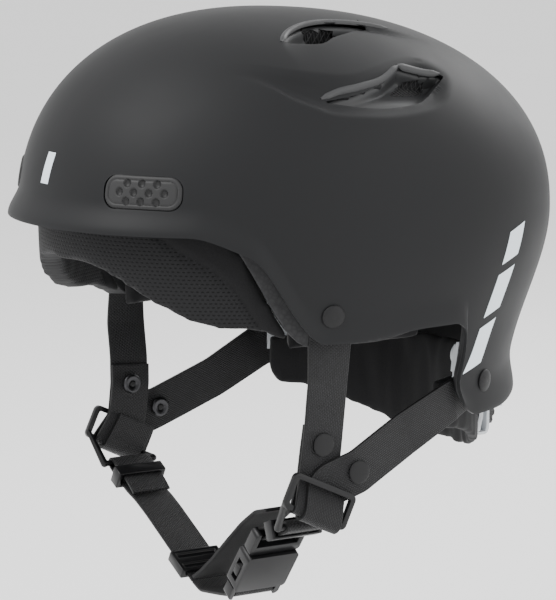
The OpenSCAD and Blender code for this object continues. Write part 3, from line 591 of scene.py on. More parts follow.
def vent_plane(vent, co):
    """Coordinates of points in the plane of a vent, on the side that they lie."""
    c, s = math.cos(math.radians(vent["lean"])), math.sin(math.radians(vent["lean"]))
    d = np.stack([np.abs(co[:, 0]), co[:, 1], co[:, 2]], -1) - np.array(vent["at"]) * MM
    return np.stack([d[:, 0] * c - d[:, 2] * s, d[:, 1]], -1) / MM


def run_along(p, extra=0.0):
    """Distance along a polyline at each of its points."""
    return np.concatenate([[0], np.cumsum(np.linalg.norm(np.diff(p, axis=0), axis=1) + extra)])


def points_at(at, run, line):
    """Points of a polyline at distances along it."""
    return np.stack([np.interp(at, run, column) for column in line.T], -1)


def inside(poly, p):
    """Even-odd test of many points in a polygon."""
    a, b = poly, np.roll(poly, -1, 0)
    hit = np.zeros(len(p), bool)
    for (x0, y0), (x1, y1) in zip(a, b):
        if y0 == y1:
            continue
        cross = (p[:, 1] > min(y0, y1)) & (p[:, 1] <= max(y0, y1))
        hit ^= cross & (p[:, 0] < x0 + (p[:, 1] - y0) * (x1 - x0) / (y1 - y0))
    return hit


def nearest_on(poly, p, closed=True):
    """Nearest points of a polyline, and their distances."""
    a = poly if closed else poly[:-1]
    b = np.roll(poly, -1, 0) if closed else poly[1:]
    best, far = np.array(p, float), np.full(len(p), 1e9)
    for s, e in zip(a, b):
        d = e - s
        t = np.clip(((p - s) @ d) / max(d @ d, 1e-12), 0, 1)[:, None]
        q = s + t * d
        r = np.linalg.norm(p - q, axis=1)
        near = r < far
        best[near], far[near] = q[near], r[near]
    return best, far


def relief(co):
    """How far the moulded valley and ridge stand off the plain dome, in metres."""
    out = np.zeros(len(co))
    high = co[:, 2] > 0.03
    p = vent_plane(OUTER_VENT, co[high])
    crease = catmull(CREASE, 8, closed=False)
    groove = catmull(GROOVE, 8, closed=False)
    low = np.interp(p[:, 1], crease[:, 1], crease[:, 0])
    far = np.interp(p[:, 1], groove[:, 1], groove[:, 0])
    past, short = np.maximum(p[:, 0] - low, 0), np.maximum(far - p[:, 0], 0)
    along = ease((p[:, 1] + 82) / 50) * ease((47 - p[:, 1]) / 16)
    across = (1 - np.exp(-(past / 4.5) ** 1.7)) * (1 - np.exp(-(short / 5.0) ** 1.8))
    valley = -3.6 * along * across
    # the island above the crease is very slightly proud
    crown = 0.7 * along * np.exp(-np.clip(low - p[:, 0], 0, 99) / 14) * ease((low - p[:, 0]) / 3)
    q = vent_plane(INNER_VENT, co[high])
    ridge = catmull(RIDGE, 8, closed=False)
    edge = np.interp(q[:, 1], ridge[:, 1], ridge[:, 0])
    over = q[:, 0] - edge
    run = ease((q[:, 1] + 40) / 14) * ease((56 - q[:, 1]) / 30)
    step = -2.4 * run * ease(over / 5.0) * np.exp(-np.clip(over - 5.0, 0, 99) / 9.0)
    out[high] = (valley + crown + step) * MM
    return out


def shell_arcs(bearings):
    """Level against distance up the dome from the lower edge, for each bearing."""
    tables = []
    top = sizes().crown_height
    for b in bearings:
        low = float(shell_edge(b))
        angle = np.linspace(0, np.pi / 2, 300)
        z = top * np.sin(angle) ** (2 / DOME_POWER)
        z = z[z > max(low, 0) + 1e-6]
        z = np.concatenate([np.linspace(low, max(low, 0), 60 if low < 0 else 1), z])
        p = dome(b, z)
        tables.append((run_along(p), z))
    return tables


def bearings_even(count):
    """Bearings from the rear round to the rear again, evenly spaced along the lower edge."""
    t = np.linspace(-180, 180, 3601)
    p = dome(t, shell_edge(t))
    run = run_along(p, 0.14 * MM)
    return np.interp(np.linspace(0, run[-1], count + 1), run, t)


def shell_points(t, z):
    """Points of the shell's outer face, with rim, relief and rear lobe."""
    lobe = np.exp(-((z / MM + 78) / 10) ** 2) * np.exp(-((fold(t) - 109) / 9) ** 2)
    t2 = t - np.sign(t) * 2.0 * lobe
    co = dome(t, z, 0.0)
    rim = flare(t, z) / np.maximum(np.hypot(co[:, 0], co[:, 1]), MM)
    co = dome(t2, z, 0.0)
    co[:, :2] *= (1 + rim)[:, None]
    n = dome_normal(t2, np.minimum(z, sizes().crown_height * 0.998))
    n[~np.isfinite(n)] = 0
    return co + n * relief(co)[:, None]


def shell_surface(across, up):
    """The outer face as a grid, with bearing and level kept in its UV map."""
    o, u, v = lattice("shell", across, up)
    ring = bearings_even(across)
    column = np.rint(u * across).astype(int)
    tables = shell_arcs(ring)
    w = np.linspace(0, 1, up + 1) ** 1.22
    level = np.empty((across + 1, up + 1))
    for i, (run, z) in enumerate(tables):
        level[i] = np.interp(w * run[-1], run, z)
    row = np.rint(v * up).astype(int)
    t, z = ring[column], level[column, row]
    grid_uv(o, t, z / MM)
    set_coords(o, shell_points(t, z))
    return o


def params(o):
    """Bearing and level of each vertex, read back from the UV map."""
    index = np.empty(len(o.data.loops), int)
    o.data.loops.foreach_get("vertex_index", index)
    uv = np.empty(len(o.data.loops) * 2)
    o.data.uv_layers.active.data.foreach_get("uv", uv)
    out = np.zeros((len(o.data.vertices), 2))
    out[index] = uv.reshape(-1, 2)
    return out[:, 0], out[:, 1] * MM


def pick_faces(o, test):
    """Selects the faces whose centres pass the test, in edit mode."""
    activate(o)
    bpy.ops.object.mode_set(mode="EDIT")
    bpy.ops.mesh.select_all(action="DESELECT")
    bpy.ops.mesh.select_mode(type="FACE")
    bpy.ops.object.mode_set(mode="OBJECT")
    o.data.polygons.foreach_set("select", test(rows(o.data.polygons, "center")))
    bpy.ops.object.mode_set(mode="EDIT")


def cut_faces(o, test):
    """Deletes the faces whose centres pass the test."""
    pick_faces(o, test)
    bpy.ops.mesh.delete(type="FACE")
    bpy.ops.object.mode_set(mode="OBJECT")


def open_edge(o):
    """Numbers of the vertices along the mesh's open edges."""
    bm = bmesh.new()
    bm.from_mesh(o.data)
    at = np.array([v.index for v in bm.verts if v.is_boundary])
    bm.free()
    return at


def cut_to(o, p, outline, snug=True):
    """Lays a grid flat, cuts it to an outline and draws its edge onto that, if snug."""
    set_coords(o, np.concatenate([p, np.zeros((len(p), 1))], 1))
    cut_faces(o, lambda c: ~inside(outline, c[:, :2]))
    p = coords(o)[:, :2]
    if snug:
        at = open_edge(o)
        p[at] = nearest_on(outline, p[at])[0]
    return p


def open_vent(o, plane, outline):
    """Cuts an opening, and says which vertices belong on its outline and where."""
    cut_faces(o, lambda c: inside(outline, plane(c)) & (c[:, 2] > 0))
    at, co = open_edge(o), coords(o)
    at = at[co[at, 2] > VENTS_ABOVE]
    q, far = nearest_on(outline, plane(co[at]))
    near = far < RIM_REACH
    return at[near], q[near]


def put_on_plane(vent, co, target):
    """Moves points within a vent's plane so that they land on the target coordinates."""
    c, s = math.cos(math.radians(vent["lean"])), math.sin(math.radians(vent["lean"]))
    now = vent_plane(vent, co)
    d = (target - now) * MM
    side = np.sign(co[:, 0])
    out = co.copy()
    out[:, 0] += side * d[:, 0] * c
    out[:, 2] -= d[:, 0] * s
    out[:, 1] += d[:, 1]
    return out


def plug_plane(co):
    """Coordinates along and across the forehead plug, in millimetres."""
    m = np.array(dome_place(PLUG_BEARING, PLUG_Z).inverted())
    p = np.stack([np.abs(co[:, 0]), co[:, 1], co[:, 2]], -1)
    q = p @ m[:3, :3].T + m[:3, 3]
    return q[:, [1, 0]] / MM


def rounded_outline(length, height, corner, steps=8):
    """A rectangle with rounded corners, as points."""
    pts = []
    for cx, cy, start in ((1, 1, 0), (-1, 1, 90), (-1, -1, 180), (1, -1, 270)):
        for k in range(steps + 1):
            a = math.radians(start + 90 * k / steps)
            pts.append((cx * (length / 2 - corner) + corner * math.cos(a),
                        cy * (height / 2 - corner) + corner * math.sin(a)))
    return np.array(pts)


class HELMET_OT_shell(bpy.types.Operator):
    """Shapes the outer shell, with its rim, valleys, vents and plug openings"""
    bl_idname = "helmet.shell"
    bl_label = "Build shell"

    def execute(self, context):
        o = shell_surface(308, 86)
        outer, inner = catmull(OUTER_VENT["outline"]), catmull(INNER_VENT["outline"])
        zone = catmull([(-34, -84), (-10, -84), (12, -60), (24, -20), (24, 30), (8, 56), (-20, 56),
                        (-60, 50), (-78, 0), (-62, -50)])
        pick_faces(o, lambda c: inside(zone, vent_plane(OUTER_VENT, c)) & (c[:, 2] > 0.03))
        bpy.ops.mesh.subdivide(number_cuts=1)
        plug = rounded_outline(PLUG_LONG + 0.6, PLUG_TALL + 0.6, 6.6)
        wide = rounded_outline(PLUG_LONG + 9, PLUG_TALL + 9, 8)
        front = lambda c: (c[:, 1] < -0.05) & (c[:, 2] > VENTS_ABOVE)
        pick_faces(o, lambda c: inside(wide, plug_plane(c)) & front(c))
        bpy.ops.mesh.subdivide(number_cuts=1)
        bpy.ops.object.mode_set(mode="OBJECT")
        t, z = params(o)
        set_coords(o, shell_points(t, z))
        for vent, line in ((OUTER_VENT, outer), (INNER_VENT, inner)):
            at, q = open_vent(o, lambda c, vent=vent: vent_plane(vent, c), line)
            co = coords(o)
            co[at] = put_on_plane(vent, co[at], q)
            set_coords(o, co)
        cut_faces(o, lambda c: inside(plug, plug_plane(c)) & front(c))
        at, co = open_edge(o), coords(o)
        p = plug_plane(co[at])
        q, far = nearest_on(plug, p)
        near = (far < 3.0) & (co[at][:, 1] < -0.05) & (co[at][:, 2] > 0.008)
        m = np.array(dome_place(PLUG_BEARING, PLUG_Z))
        d = (q - p)[near] * MM
        move = d[:, :1] * m[:3, 1] + d[:, 1:] * m[:3, 0]
        move[:, 0] *= np.sign(co[at[near]][:, 0])
        co[at[near]] += move
        set_coords(o, co)
        weld(o, 0.00005)
        modify(o, "SOLIDIFY", thickness=sizes().shell_wall, offset=-1, use_even_offset=True,
               thickness_clamp=0.8, use_rim=True)
        round_edges(o, 0.0008, 2, 55)
        weld(o, 0.00001)
        smooth(o, 42)
        dress(o, shell_finish(), "helmet", ["outer_shell"])
        return {"FINISHED"}


def shell_finish():
    """Matte moulded plastic: fine grain, soft patches of sheen, faint hairlines, worn edges."""
    m, t, shader, where = begin("matte shell", 0.55)
    grain = place_group(t, "grain", where.outputs["Object"], Fineness=2400.0)
    scuffs = place_group(t, "scuffs", where.outputs["Object"], Amount=0.25)
    edges = place_group(t, "edges", Low=0.515, High=0.60)
    base = ramp(t, grain.outputs["Patches"], scaled(colours().shell, 0.92),
                scaled(colours().shell, 1.08), 0.35, 0.65)
    base = blend_colours(t, maths(t, "MULTIPLY", edges.outputs["Mask"], 0.35), base,
                         scaled(colours().shell, 1.7))
    base = blend_colours(t, maths(t, "MULTIPLY", scuffs.outputs["Mask"], 0.25), base,
                         scaled(colours().shell, 2.2))
    t.links.new(base, shader.inputs["Base Color"])
    rough = spread(t, grain.outputs["Patches"], 0.52, 0.60, 0.35, 0.65)
    t.links.new(maths(t, "SUBTRACT", rough, maths(t, "MULTIPLY", edges.outputs["Mask"], 0.08)),
                shader.inputs["Roughness"])
    shader.inputs["Specular IOR Level"].default_value = 0.2
    bump(t, shader, grain.outputs["Height"], 0.12, 0.00006)
    return m


# ---------------------------------------------------------------- vents

def dome_level(p):
    """Below zero inside the plain dome, above zero outside."""
    s = sizes()
    reach = np.where(p[:, 1] < 0, s.front_length, s.rear_length)
    plan = ((np.abs(p[:, 0]) / s.half_width) ** PLAN_POWER
            + (np.abs(p[:, 1]) / reach) ** PLAN_POWER) ** (1 / PLAN_POWER)
    z = p[:, 2] / (1 - CROWN_TILT * p[:, 1] / s.front_length)
    return plan ** DOME_POWER + (np.maximum(z, 0) / s.crown_height) ** DOME_POWER - 1


def vent_frame(vent, side):
    """Directions down, back and out of a vent's plane, and its middle."""
    c, s = math.cos(math.radians(vent["lean"])), math.sin(math.radians(vent["lean"]))
    return (np.array([side * c, 0, -s]), np.array([0, 1.0, 0]), np.array([side * s, 0, c]),
            np.array([side * vent["at"][0], vent["at"][1], vent["at"][2]]) * MM)


def on_vent(vent, plane, depth, side):
    """Points of the moulded dome over plane coordinates, a depth below its face."""
    down, back, out, at = vent_frame(vent, side)
    base = at + (plane[:, :1] * down + plane[:, 1:] * back) * MM
    low, high = np.full(len(plane), -0.03), np.full(len(plane), 0.03)
    for _ in range(40):
        mid = (low + high) / 2
        inner = dome_level(base + mid[:, None] * out) < 0
        low, high = np.where(inner, mid, low), np.where(inner, high, mid)
    face = base + low[:, None] * out
    return face + (relief(face) - np.asarray(depth) * MM)[:, None] * out


def vent_sheet(name, vent, outline, depth, side, pitch=0.8):
    """A sheet under a vent, cut to an outline, at a depth given by a formula."""
    low, high = outline.min(0) - 1, outline.max(0) + 1
    across, up = (np.ceil((high - low) / pitch)).astype(int)
    o, u, v = lattice(name, int(across), int(up))
    p = np.stack([low[0] + u * (high[0] - low[0]), low[1] + v * (high[1] - low[1])], -1)
    grid_uv(o, p[:, 0] * MM, p[:, 1] * MM)
    p = cut_to(o, p, outline)
    set_coords(o, on_vent(vent, p, depth(p), side))
    return o


def grown(outline, amount):
    """An outline moved outwards by an amount."""
    d = np.roll(outline, -1, 0) - np.roll(outline, 1, 0)
    d /= np.maximum(np.linalg.norm(d, axis=1, keepdims=True), 1e-9)
    n = np.stack([d[:, 1], -d[:, 0]], -1)
    area = 0.5 * np.sum(outline[:, 0] * np.roll(outline[:, 1], -1)
                        - outline[:, 1] * np.roll(outline[:, 0], -1))
    return outline + n * amount * np.sign(area)


# Raised lips beside the vents: the vent, the line that the lip follows, and its width
LIPS = ((OUTER_VENT, [(1.5, -33), (-0.4, -24), (-1.6, -12), (-5.6, 3), (-13.2, 15.5)], 3.0),
        (OUTER_VENT, [(-13.6, 15.5), (-12.4, 28), (-10.4, 41)], 3.0),
        (INNER_VENT, RIDGE[:-1], 2.6))


def vent_lip(vent, line, width, side):
    """Raised rounded lip that runs along one side of a vent, tapering at both ends."""
    line = catmull(line, 16, closed=False)
    run = run_along(line)
    o, u, v = lattice("lip", 10, int(run[-1] / 0.6))
    at = v * run[-1]
    mid = points_at(at, run, line)
    ahead = points_at(at + 0.5, run, line) - points_at(at - 0.5, run, line)
    ahead /= np.linalg.norm(ahead, axis=1, keepdims=True)
    ends = ease(np.minimum(at, run[-1] - at) / 4.0)
    cross = (u - 0.5) * width * (0.35 + 0.65 * ends)
    p = mid + np.stack([ahead[:, 1], -ahead[:, 0]], -1) * cross[:, None]
    depth = 0.7 - 1.15 * np.clip(np.sin(np.pi * u), 0, 1) ** 0.6 * (0.55 + 0.45 * ends)
    set_coords(o, on_vent(vent, p, depth, side))
    grid_uv(o, p[:, 0] * MM, p[:, 1] * MM)
    modify(o, "SOLIDIFY", thickness=0.0008, offset=0)
    return o


# Holes in the trays, which the netting fills
DIAMOND = [(-1.8, 11.5), (-7.6, 17.4), (-10.2, 22.5), (-9.6, 32.5), (-7.4, 34.2), (-3.6, 28.0)]
SLOT = [(-8.2, -20.5), (-4.4, -13), (-3.8, -6), (-7.2, 6), (-9.0, 6), (-9.2, -8)]


def tray_depth(vent, outline):
    """Depth of the moulded tray: shallow at its outer edge, deep beside the crown."""
    def depth(p):
        _, far = nearest_on(outline, p)
        held = inside(outline, p)
        wall = ease(np.where(held, far, 0) / 2.6)
        if vent is OUTER_VENT:
            floor = 1.2 + 4.2 * ease((6.5 - p[:, 0]) / 13) * ease((p[:, 1] + 26) / 30)
        else:
            floor = 1.0 + 3.6 * ease((8 - p[:, 0]) / 12)
        return 3.05 + wall * floor
    return depth


class HELMET_OT_vents(bpy.types.Operator):
    """Moulded trays and open mesh inside the four vents"""
    bl_idname = "helmet.vents"
    bl_label = "Build vents"

    def execute(self, context):
        mesh_look, tray_look = mesh_finish(), tray_finish()
        for side, word in SIDES:
            trays, nets = [], []
            for vent, hole in ((OUTER_VENT, DIAMOND), (INNER_VENT, SLOT)):
                outline = catmull(vent["outline"])
                depth = tray_depth(vent, outline)
                tray = vent_sheet("tray", vent, grown(outline, 1.6), depth, side)
                opening = catmull(hole, 4)
                down, back, _, at = vent_frame(vent, side)
                cut_faces(tray, lambda c: inside(opening, np.stack(
                    [(c - at) @ down, (c - at) @ back], -1) / MM))
                if side < 0:
                    flip(tray)
                modify(tray, "SOLIDIFY", thickness=0.0009, offset=-1)
                trays.append(tray)
                nets.append(vent_net(vent, grown(catmull(hole, 6), 1.0), depth, side))
            tray = join(trays, "vent_tray_" + word)
            smooth(tray, 45)
            dress(tray, tray_look)
            lips = join([vent_lip(vent, line, width, side) for vent, line, width in LIPS],
                        "vent_lips_" + word)
            smooth(lips, 50)
            dress(lips, tray_look)
            net = join(nets, "vent_net_" + word)
            smooth(net, 60)
            dress(net, mesh_look, "helmet", ["vent_mesh_" + word])
        return {"FINISHED"}


def vent_net(vent, outline, depth, side):
    """Open diamond netting: a turned grid made into strands."""
    low, high = outline.min(0), outline.max(0)
    mid, half = (low + high) / 2, np.linalg.norm(high - low) / 2 + 1
    count = int(half * 2 / 1.5)
    o, u, v = lattice("net", count, count)
    p = np.stack([(u - 0.5) * 2 * half, (v - 0.5) * 2 * half], -1)
    turn = math.radians(38)
    p = np.stack([p[:, 0] * math.cos(turn) - p[:, 1] * math.sin(turn),
                  p[:, 0] * math.sin(turn) * 1.25 + p[:, 1] * math.cos(turn) * 1.25], -1) + mid
    p = cut_to(o, p, outline, snug=False)
    set_coords(o, on_vent(vent, p, depth(p) + 1.1, side))
    if side < 0:
        flip(o)
    modify(o, "WIREFRAME", thickness=0.0005, use_even_offset=False)
    return o


def tray_finish():
    """Smooth dark plastic of the vent trays and lips."""
    m, t, shader, where = begin("vent tray", 0.5)
    grain = place_group(t, "grain", where.outputs["Object"], Fineness=2000.0)
    t.links.new(ramp(t, grain.outputs["Patches"], (0.022, 0.0225, 0.0235), (0.030, 0.0305, 0.032),
                     0.3, 0.7), shader.inputs["Base Color"])
    t.links.new(spread(t, grain.outputs["Patches"], 0.42, 0.55), shader.inputs["Roughness"])
    bump(t, shader, grain.outputs["Height"], 0.15, 0.00005)
    return m


def mesh_finish():
    """Dull plastic netting."""
    m, t, shader, where = begin("netting", 0.7)
    grain = place_group(t, "grain", where.outputs["Object"], Fineness=5200.0)
    t.links.new(ramp(t, grain.outputs["Height"], (0.02, 0.02, 0.021), (0.06, 0.06, 0.062),
                     0.3, 0.7),
                shader.inputs["Base Color"])
    t.links.new(spread(t, grain.outputs["Patches"], 0.6, 0.8), shader.inputs["Roughness"])
    bump(t, shader, grain.outputs["Height"], 0.3, 0.0001)
    return m


LINER_DEPTH = 4.05 * MM    # from the shell's outer face to the foam
LINER_WALL = 14.4 * MM


class HELMET_OT_liner(bpy.types.Operator):
    """Foam liner with rounded lower edge and vent openings"""
    bl_idname = "helmet.liner"
    bl_label = "Build liner"

    def execute(self, context):
        o, u, v = lattice("liner", 220, 60)
        t = -180 + 360 * u
        f = fold(t)
        low = (BRIM_Z + 3 * MM + (SIDE_Z - BRIM_Z - 5 * MM) * ease((f - 48) / 22)
               + (-44 * MM - SIDE_Z + 2 * MM) * ease((f - 84) / 20))
        top = sizes().crown_height - LINER_DEPTH
        angle = v * np.pi / 2
        rise = top * np.sin(angle) ** (2 / DOME_POWER)
        z = low * (1 - v) ** 3 + rise
        z = np.minimum(z, top)
        set_coords(o, dome(t, z, LINER_DEPTH))
        grid_uv(o, t, z / MM)
        for vent in (OUTER_VENT, INNER_VENT):
            outline = grown(catmull(vent["outline"]), 1.2)
            cut_faces(o, lambda c: inside(outline, vent_plane(vent, c)) & (c[:, 2] > 0.03))
        weld(o, 0.00005)
        modify(o, "SOLIDIFY", thickness=LINER_WALL, offset=-1, use_even_offset=True)
        round_edges(o, 0.0022, 3, 60)
        smooth(o, 50)
        dress(o, foam_finish(), "helmet", ["shock_liner"])
        return {"FINISHED"}


def foam_finish():
    """Moulded bead foam: packed cells with darker joints."""
    m, t, shader, where = begin("bead foam", 0.8)
    cells = add(t, "ShaderNodeTexVoronoi", Scale=420.0, feature="DISTANCE_TO_EDGE")
    tint = add(t, "ShaderNodeTexVoronoi", Scale=420.0)
    t.links.new(where.outputs["Object"], cells.inputs["Vector"])
    t.links.new(where.outputs["Object"], tint.inputs["Vector"])
    t.links.new(ramp(t, cells.outputs["Distance"], (0.007, 0.007, 0.008), (0.012, 0.012, 0.013),
                     0.0, 0.25), shader.inputs["Base Color"])
    t.links.new(spread(t, tint.outputs["Distance"], 0.7, 0.85), shader.inputs["Roughness"])
    bump(t, shader, cells.outputs["Distance"], 0.15, 0.0003)
    return m


# ---------------------------------------------------------------- forehead plugs

DIMPLE_PITCH, DIMPLE_RADIUS = 7.6, 1.85


class HELMET_OT_plugs(bpy.types.Operator):
    """Dimpled soft plugs in the two forehead openings"""
    bl_idname = "helmet.plugs"
    bl_label = "Build plugs"

    def execute(self, context):
        look = rubber_finish("plug rubber", (0.006, 0.006, 0.0065))
        outline = rounded_outline(PLUG_LONG - 0.5, PLUG_TALL - 0.5, 6.3)
        spots = []
        for row, count in enumerate((3, 4, 3)):
            for i in range(count):
                spots.append(((i - (count - 1) / 2) * DIMPLE_PITCH, (row - 1) * PLUG_TALL / 4))
        spots = np.array(spots)
        for side, word in SIDES:
            o, u, v = lattice("vent_plug_" + word, 108, 44)
            p = cut_to(o, np.stack([(u - 0.5) * PLUG_LONG, (v - 0.5) * PLUG_TALL], -1), outline)
            _, edge = nearest_on(outline, p)
            rise = np.clip(edge / 1.6, 0, 1)
            proud = 1.15 * np.sqrt(rise * (2 - rise))
            groove = -0.45 * np.exp(-((edge - 2.3) / 0.35) ** 2)
            far = np.min(np.linalg.norm(p[:, None] - spots[None], axis=2), axis=1)
            dimple = -1.5 * np.sqrt(np.clip(1 - (far / DIMPLE_RADIUS) ** 2, 0, 1))
            level = (proud + groove + dimple - 0.35) * MM
            q = p * MM
            # the face follows the dome: step along it, then out along its own normal
            degree = np.linalg.norm(dome(PLUG_BEARING + 0.5, PLUG_Z)
                                    - dome(PLUG_BEARING - 0.5, PLUG_Z))
            bearing = PLUG_BEARING + q[:, 0] / degree
            height = PLUG_Z - q[:, 1]
            face = dome(bearing, height)
            n = dome_normal(bearing, height)
            co = face + n * level[:, None]
            co[:, 0] *= side
            set_coords(o, co)
            grid_uv(o, q[:, 0], q[:, 1])
            if side > 0:
                flip(o)
            modify(o, "SOLIDIFY", thickness=0.0042, offset=-1)
            weld(o, 0.000005)
            smooth(o, 50)
            dress(o, look, "helmet", ["vent_plug_" + word])
        return {"FINISHED"}


def rubber_finish(name, tone):
    """Soft moulded rubber with slow patches of bloom."""
    m, t, shader, where = begin(name, 0.6)
    grain = place_group(t, "grain", where.outputs["Object"], Fineness=3000.0)
    t.links.new(ramp(t, grain.outputs["Patches"], scaled(tone, 0.8), scaled(tone, 1.3), 0.3, 0.7),
                shader.inputs["Base Color"])
    t.links.new(spread(t, grain.outputs["Height"], 0.5, 0.7), shader.inputs["Roughness"])
    bump(t, shader, grain.outputs["Height"], 0.2, 0.00006)
    return m


# ---------------------------------------------------------------- printed marks

class HELMET_OT_marks(bpy.types.Operator):
    """Plain printed bars on the rear sides and the forehead"""
    bl_idname = "helmet.marks"
    bl_label = "Build marks"

    def execute(self, context):
        look = print_finish()
        bars = [self.bar(low, high, side)
                for low, high in ((-72, -50), (-45, -24), (-19, -3)) for side in (1, -1)]
        bars.append(self.brow())
        o = join(bars, "printed_marks")
        weld(o, 0.000005)
        smooth(o, 40)
        dress(o, look)
        return {"FINISHED"}

    def bar(self, low, high, side, middle=117.6, width=12.5, lean=0.22):
        """A slanted bar between two levels on a rear side."""
        o, u, v = lattice("bar", 8, 14)
        z = (low + (high - low) * v) * MM
        shift = (z / MM + 30) * lean + (u - 0.5) * width
        t = middle + np.degrees(shift * MM / 0.118)
        z = z + (u - 0.5) * 0.004
        co = shell_points(t, z) + dome_normal(t, z) * 0.00008
        co[:, 0] *= side
        set_coords(o, co)
        grid_uv(o, u * 0.01, v * 0.02)
        if side < 0:
            flip(o)
        return o

    def brow(self):
        """A small bar on the forehead."""
        o, u, v = lattice("brow", 6, 10)
        z = (20 + 14 * v) * MM
        t = np.degrees(((u - 0.5) * 7 + (v - 0.5) * 2) * MM / 0.132)
        set_coords(o, shell_points(t, z) + dome_normal(t, z) * 0.00008)
        grid_uv(o, u * 0.01, v * 0.02)
        return o


def print_finish():
    """Pale printed film, scuffed through in places."""
    m, t, shader, where = begin("printed mark", 0.38)
    scuffs = place_group(t, "scuffs", where.outputs["Object"], Amount=0.6)
    grain = place_group(t, "grain", where.outputs["Object"], Fineness=3200.0)
    base = blend_colours(t, scuffs.outputs["Mask"], tuple(colours().mark),
                         scaled(colours().mark, 0.7))
    t.links.new(base, shader.inputs["Base Color"])
    t.links.new(spread(t, grain.outputs["Patches"], 0.34, 0.46), shader.inputs["Roughness"])
    bump(t, shader, grain.outputs["Height"], 0.1, 0.00003)
    return m


# ---------------------------------------------------------------- webbing

# Places of the harness, in millimetres
STRAP_Y = -38
RING_C = np.array([98, -42, -126.5])
RING_ALONG = np.array([0, math.cos(math.radians(25)), -math.sin(math.radians(25))])
RING_DOWN = np.array([0, -math.sin(math.radians(25)), -math.cos(math.radians(25))])
BAR_DROP = 7.7
EYE = np.array([86, -43, -140])
EYE_RIGHT = np.array([-86, -43, -140])
FOOT = np.array([-2, -43, -185.5])
CHIN_DIR = (FOOT - EYE_RIGHT) / np.linalg.norm(FOOT - EYE_RIGHT)
BUCKLE_TOP = np.array([65, -43, -146])
BUCKLE_DIR = np.array([math.cos(math.radians(127)), 0, -math.sin(math.radians(127))])
PLUG_BAR = BUCKLE_TOP + 2.5 * BUCKLE_DIR
SOCKET_BAR = BUCKLE_TOP + 45 * BUCKLE_DIR
SNAP_FRONT = np.array([94.2, -38, -100])
SNAP_REAR = np.array([96.2, -19, -115])
STRAP_DEPTH = 4.7          # of a strap's middle inside the shell's outer face
LAYER = 1.7                # from one layer of webbing to the next
LOOP_MID = 2.5             # radius of a fold round a bar, at the webbing's middle


def ring_at(out, down, along):
    """A point near the strap ring, along the ring's own directions."""
    return RING_C + np.array([out, 0, 0]) + down * RING_DOWN + along * RING_ALONG


def ring_loop(out_in, radius, out_back, shift):
    """The fold of a strap round the ring's lower bar."""
    pts = [ring_at(out_in, -BAR_DROP - 1, shift), ring_at(out_in, -BAR_DROP + 1.5, shift)]
    for i in range(7):
        a = math.radians(30 * i)
        pts.append(ring_at(radius * math.cos(a), BAR_DROP + radius * math.sin(a), shift))
    return pts + [ring_at(out_back, -BAR_DROP + 1.5, shift),
                  ring_at(out_back, -BAR_DROP - 1, shift)]


def eased_line(path, sides, reach, closed=False, pitch=0.25):
    """A fine polyline whose corners are eased over a reach, with its side directions."""
    run = run_along(path)
    at = np.linspace(0, run[-1], int(run[-1] / pitch) + 1)
    fine = points_at(at, run, np.concatenate([path, sides], 1))
    pad = int(4 * reach / pitch)
    if closed:
        wide = np.vstack([fine[-pad - 1:-1], fine, fine[1:pad + 1]])
    else:
        lead = fine[0] - np.arange(pad, 0, -1)[:, None] * (fine[1] - fine[0])
        tail = fine[-1] + np.arange(1, pad + 1)[:, None] * (fine[-1] - fine[-2])
        wide = np.vstack([lead, fine, tail])
    k = np.exp(-0.5 * (np.arange(-pad, pad + 1) * pitch / reach) ** 2)
    out = np.stack([np.convolve(wide[:, c], k / k.sum(), "valid") for c in range(6)], -1)
    return out[:, :3], out[:, 3:]


def ribbon(name, path, sides, width=None, wall=None, wander=0.0, seed=1.0, closed=False,
           step=1.1, soften=1.4):
    """Webbing along a path: the sides say which way its width lies, all in millimetres."""
    width = width or sizes().web_width / MM
    wall = wall or sizes().web_wall / MM
    path, sides = np.asarray(path, float), np.asarray(sides, float)
    sides = sides / np.linalg.norm(sides, axis=1, keepdims=True)
    if closed:
        path, sides = np.vstack([path, path[:1]]), np.vstack([sides, sides[:1]])
    line, side = eased_line(path, sides, soften, closed)
    run = run_along(line)
    count = max(8, int(run[-1] / step))
    at = np.linspace(0, run[-1], count + 1)
    line, side = points_at(at, run, line), points_at(at, run, side)
    ahead = np.gradient(line, axis=0)
    if closed:
        ahead[0] = ahead[-1] = line[1] - line[-2]
    ahead /= np.linalg.norm(ahead, axis=1, keepdims=True)
    side -= (side * ahead).sum(1)[:, None] * ahead
    side /= np.linalg.norm(side, axis=1, keepdims=True)
    face = np.cross(ahead, side)
    o, u, v = lattice(name, 12, count)
    row = np.rint(v * count).astype(int)
    off = (u - 0.5) * width
    end = np.minimum(at[row], run[-1] - at[row])
    calm = np.clip(end / 12, 0, 1)
    lift = np.array([noise.noise(Vector((at[r] * 0.045, seed, a * 0.05)))
                     for r, a in zip(row, off)])
    co = line[row] + side[row] * off[:, None] + face[row] * (lift * wander * calm)[:, None]
    set_coords(o, co * MM)
    grid_uv(o, off * MM, at[row] * MM)
    if closed:
        weld(o, 0.0003)
    modify(o, "SOLIDIFY", thickness=wall * MM, offset=0, use_even_offset=False)
    round_edges(o, min(0.35, wall * 0.32) * MM, 2, 60)
    smooth(o, 50)
    return o


def mirrored(o, name):
    """A copy on the wearer's other side."""
    clear()
    c = bpy.data.objects.new(name, o.data.copy())
    bpy.context.scene.collection.objects.link(c)
    co = coords(c)
    co[:, 0] *= -1
    set_coords(c, co)
    flip(c)
    return c


def shell_side(deg, z):
    """Level direction along the dome at a bearing."""
    n = dome_normal(deg, z * MM)
    return np.array([-n[1], n[0], 0])


def dome_mm(deg, z, depth):
    """A point of the dome, with every length in millimetres."""
    return dome(deg, z * MM, depth * MM) / MM


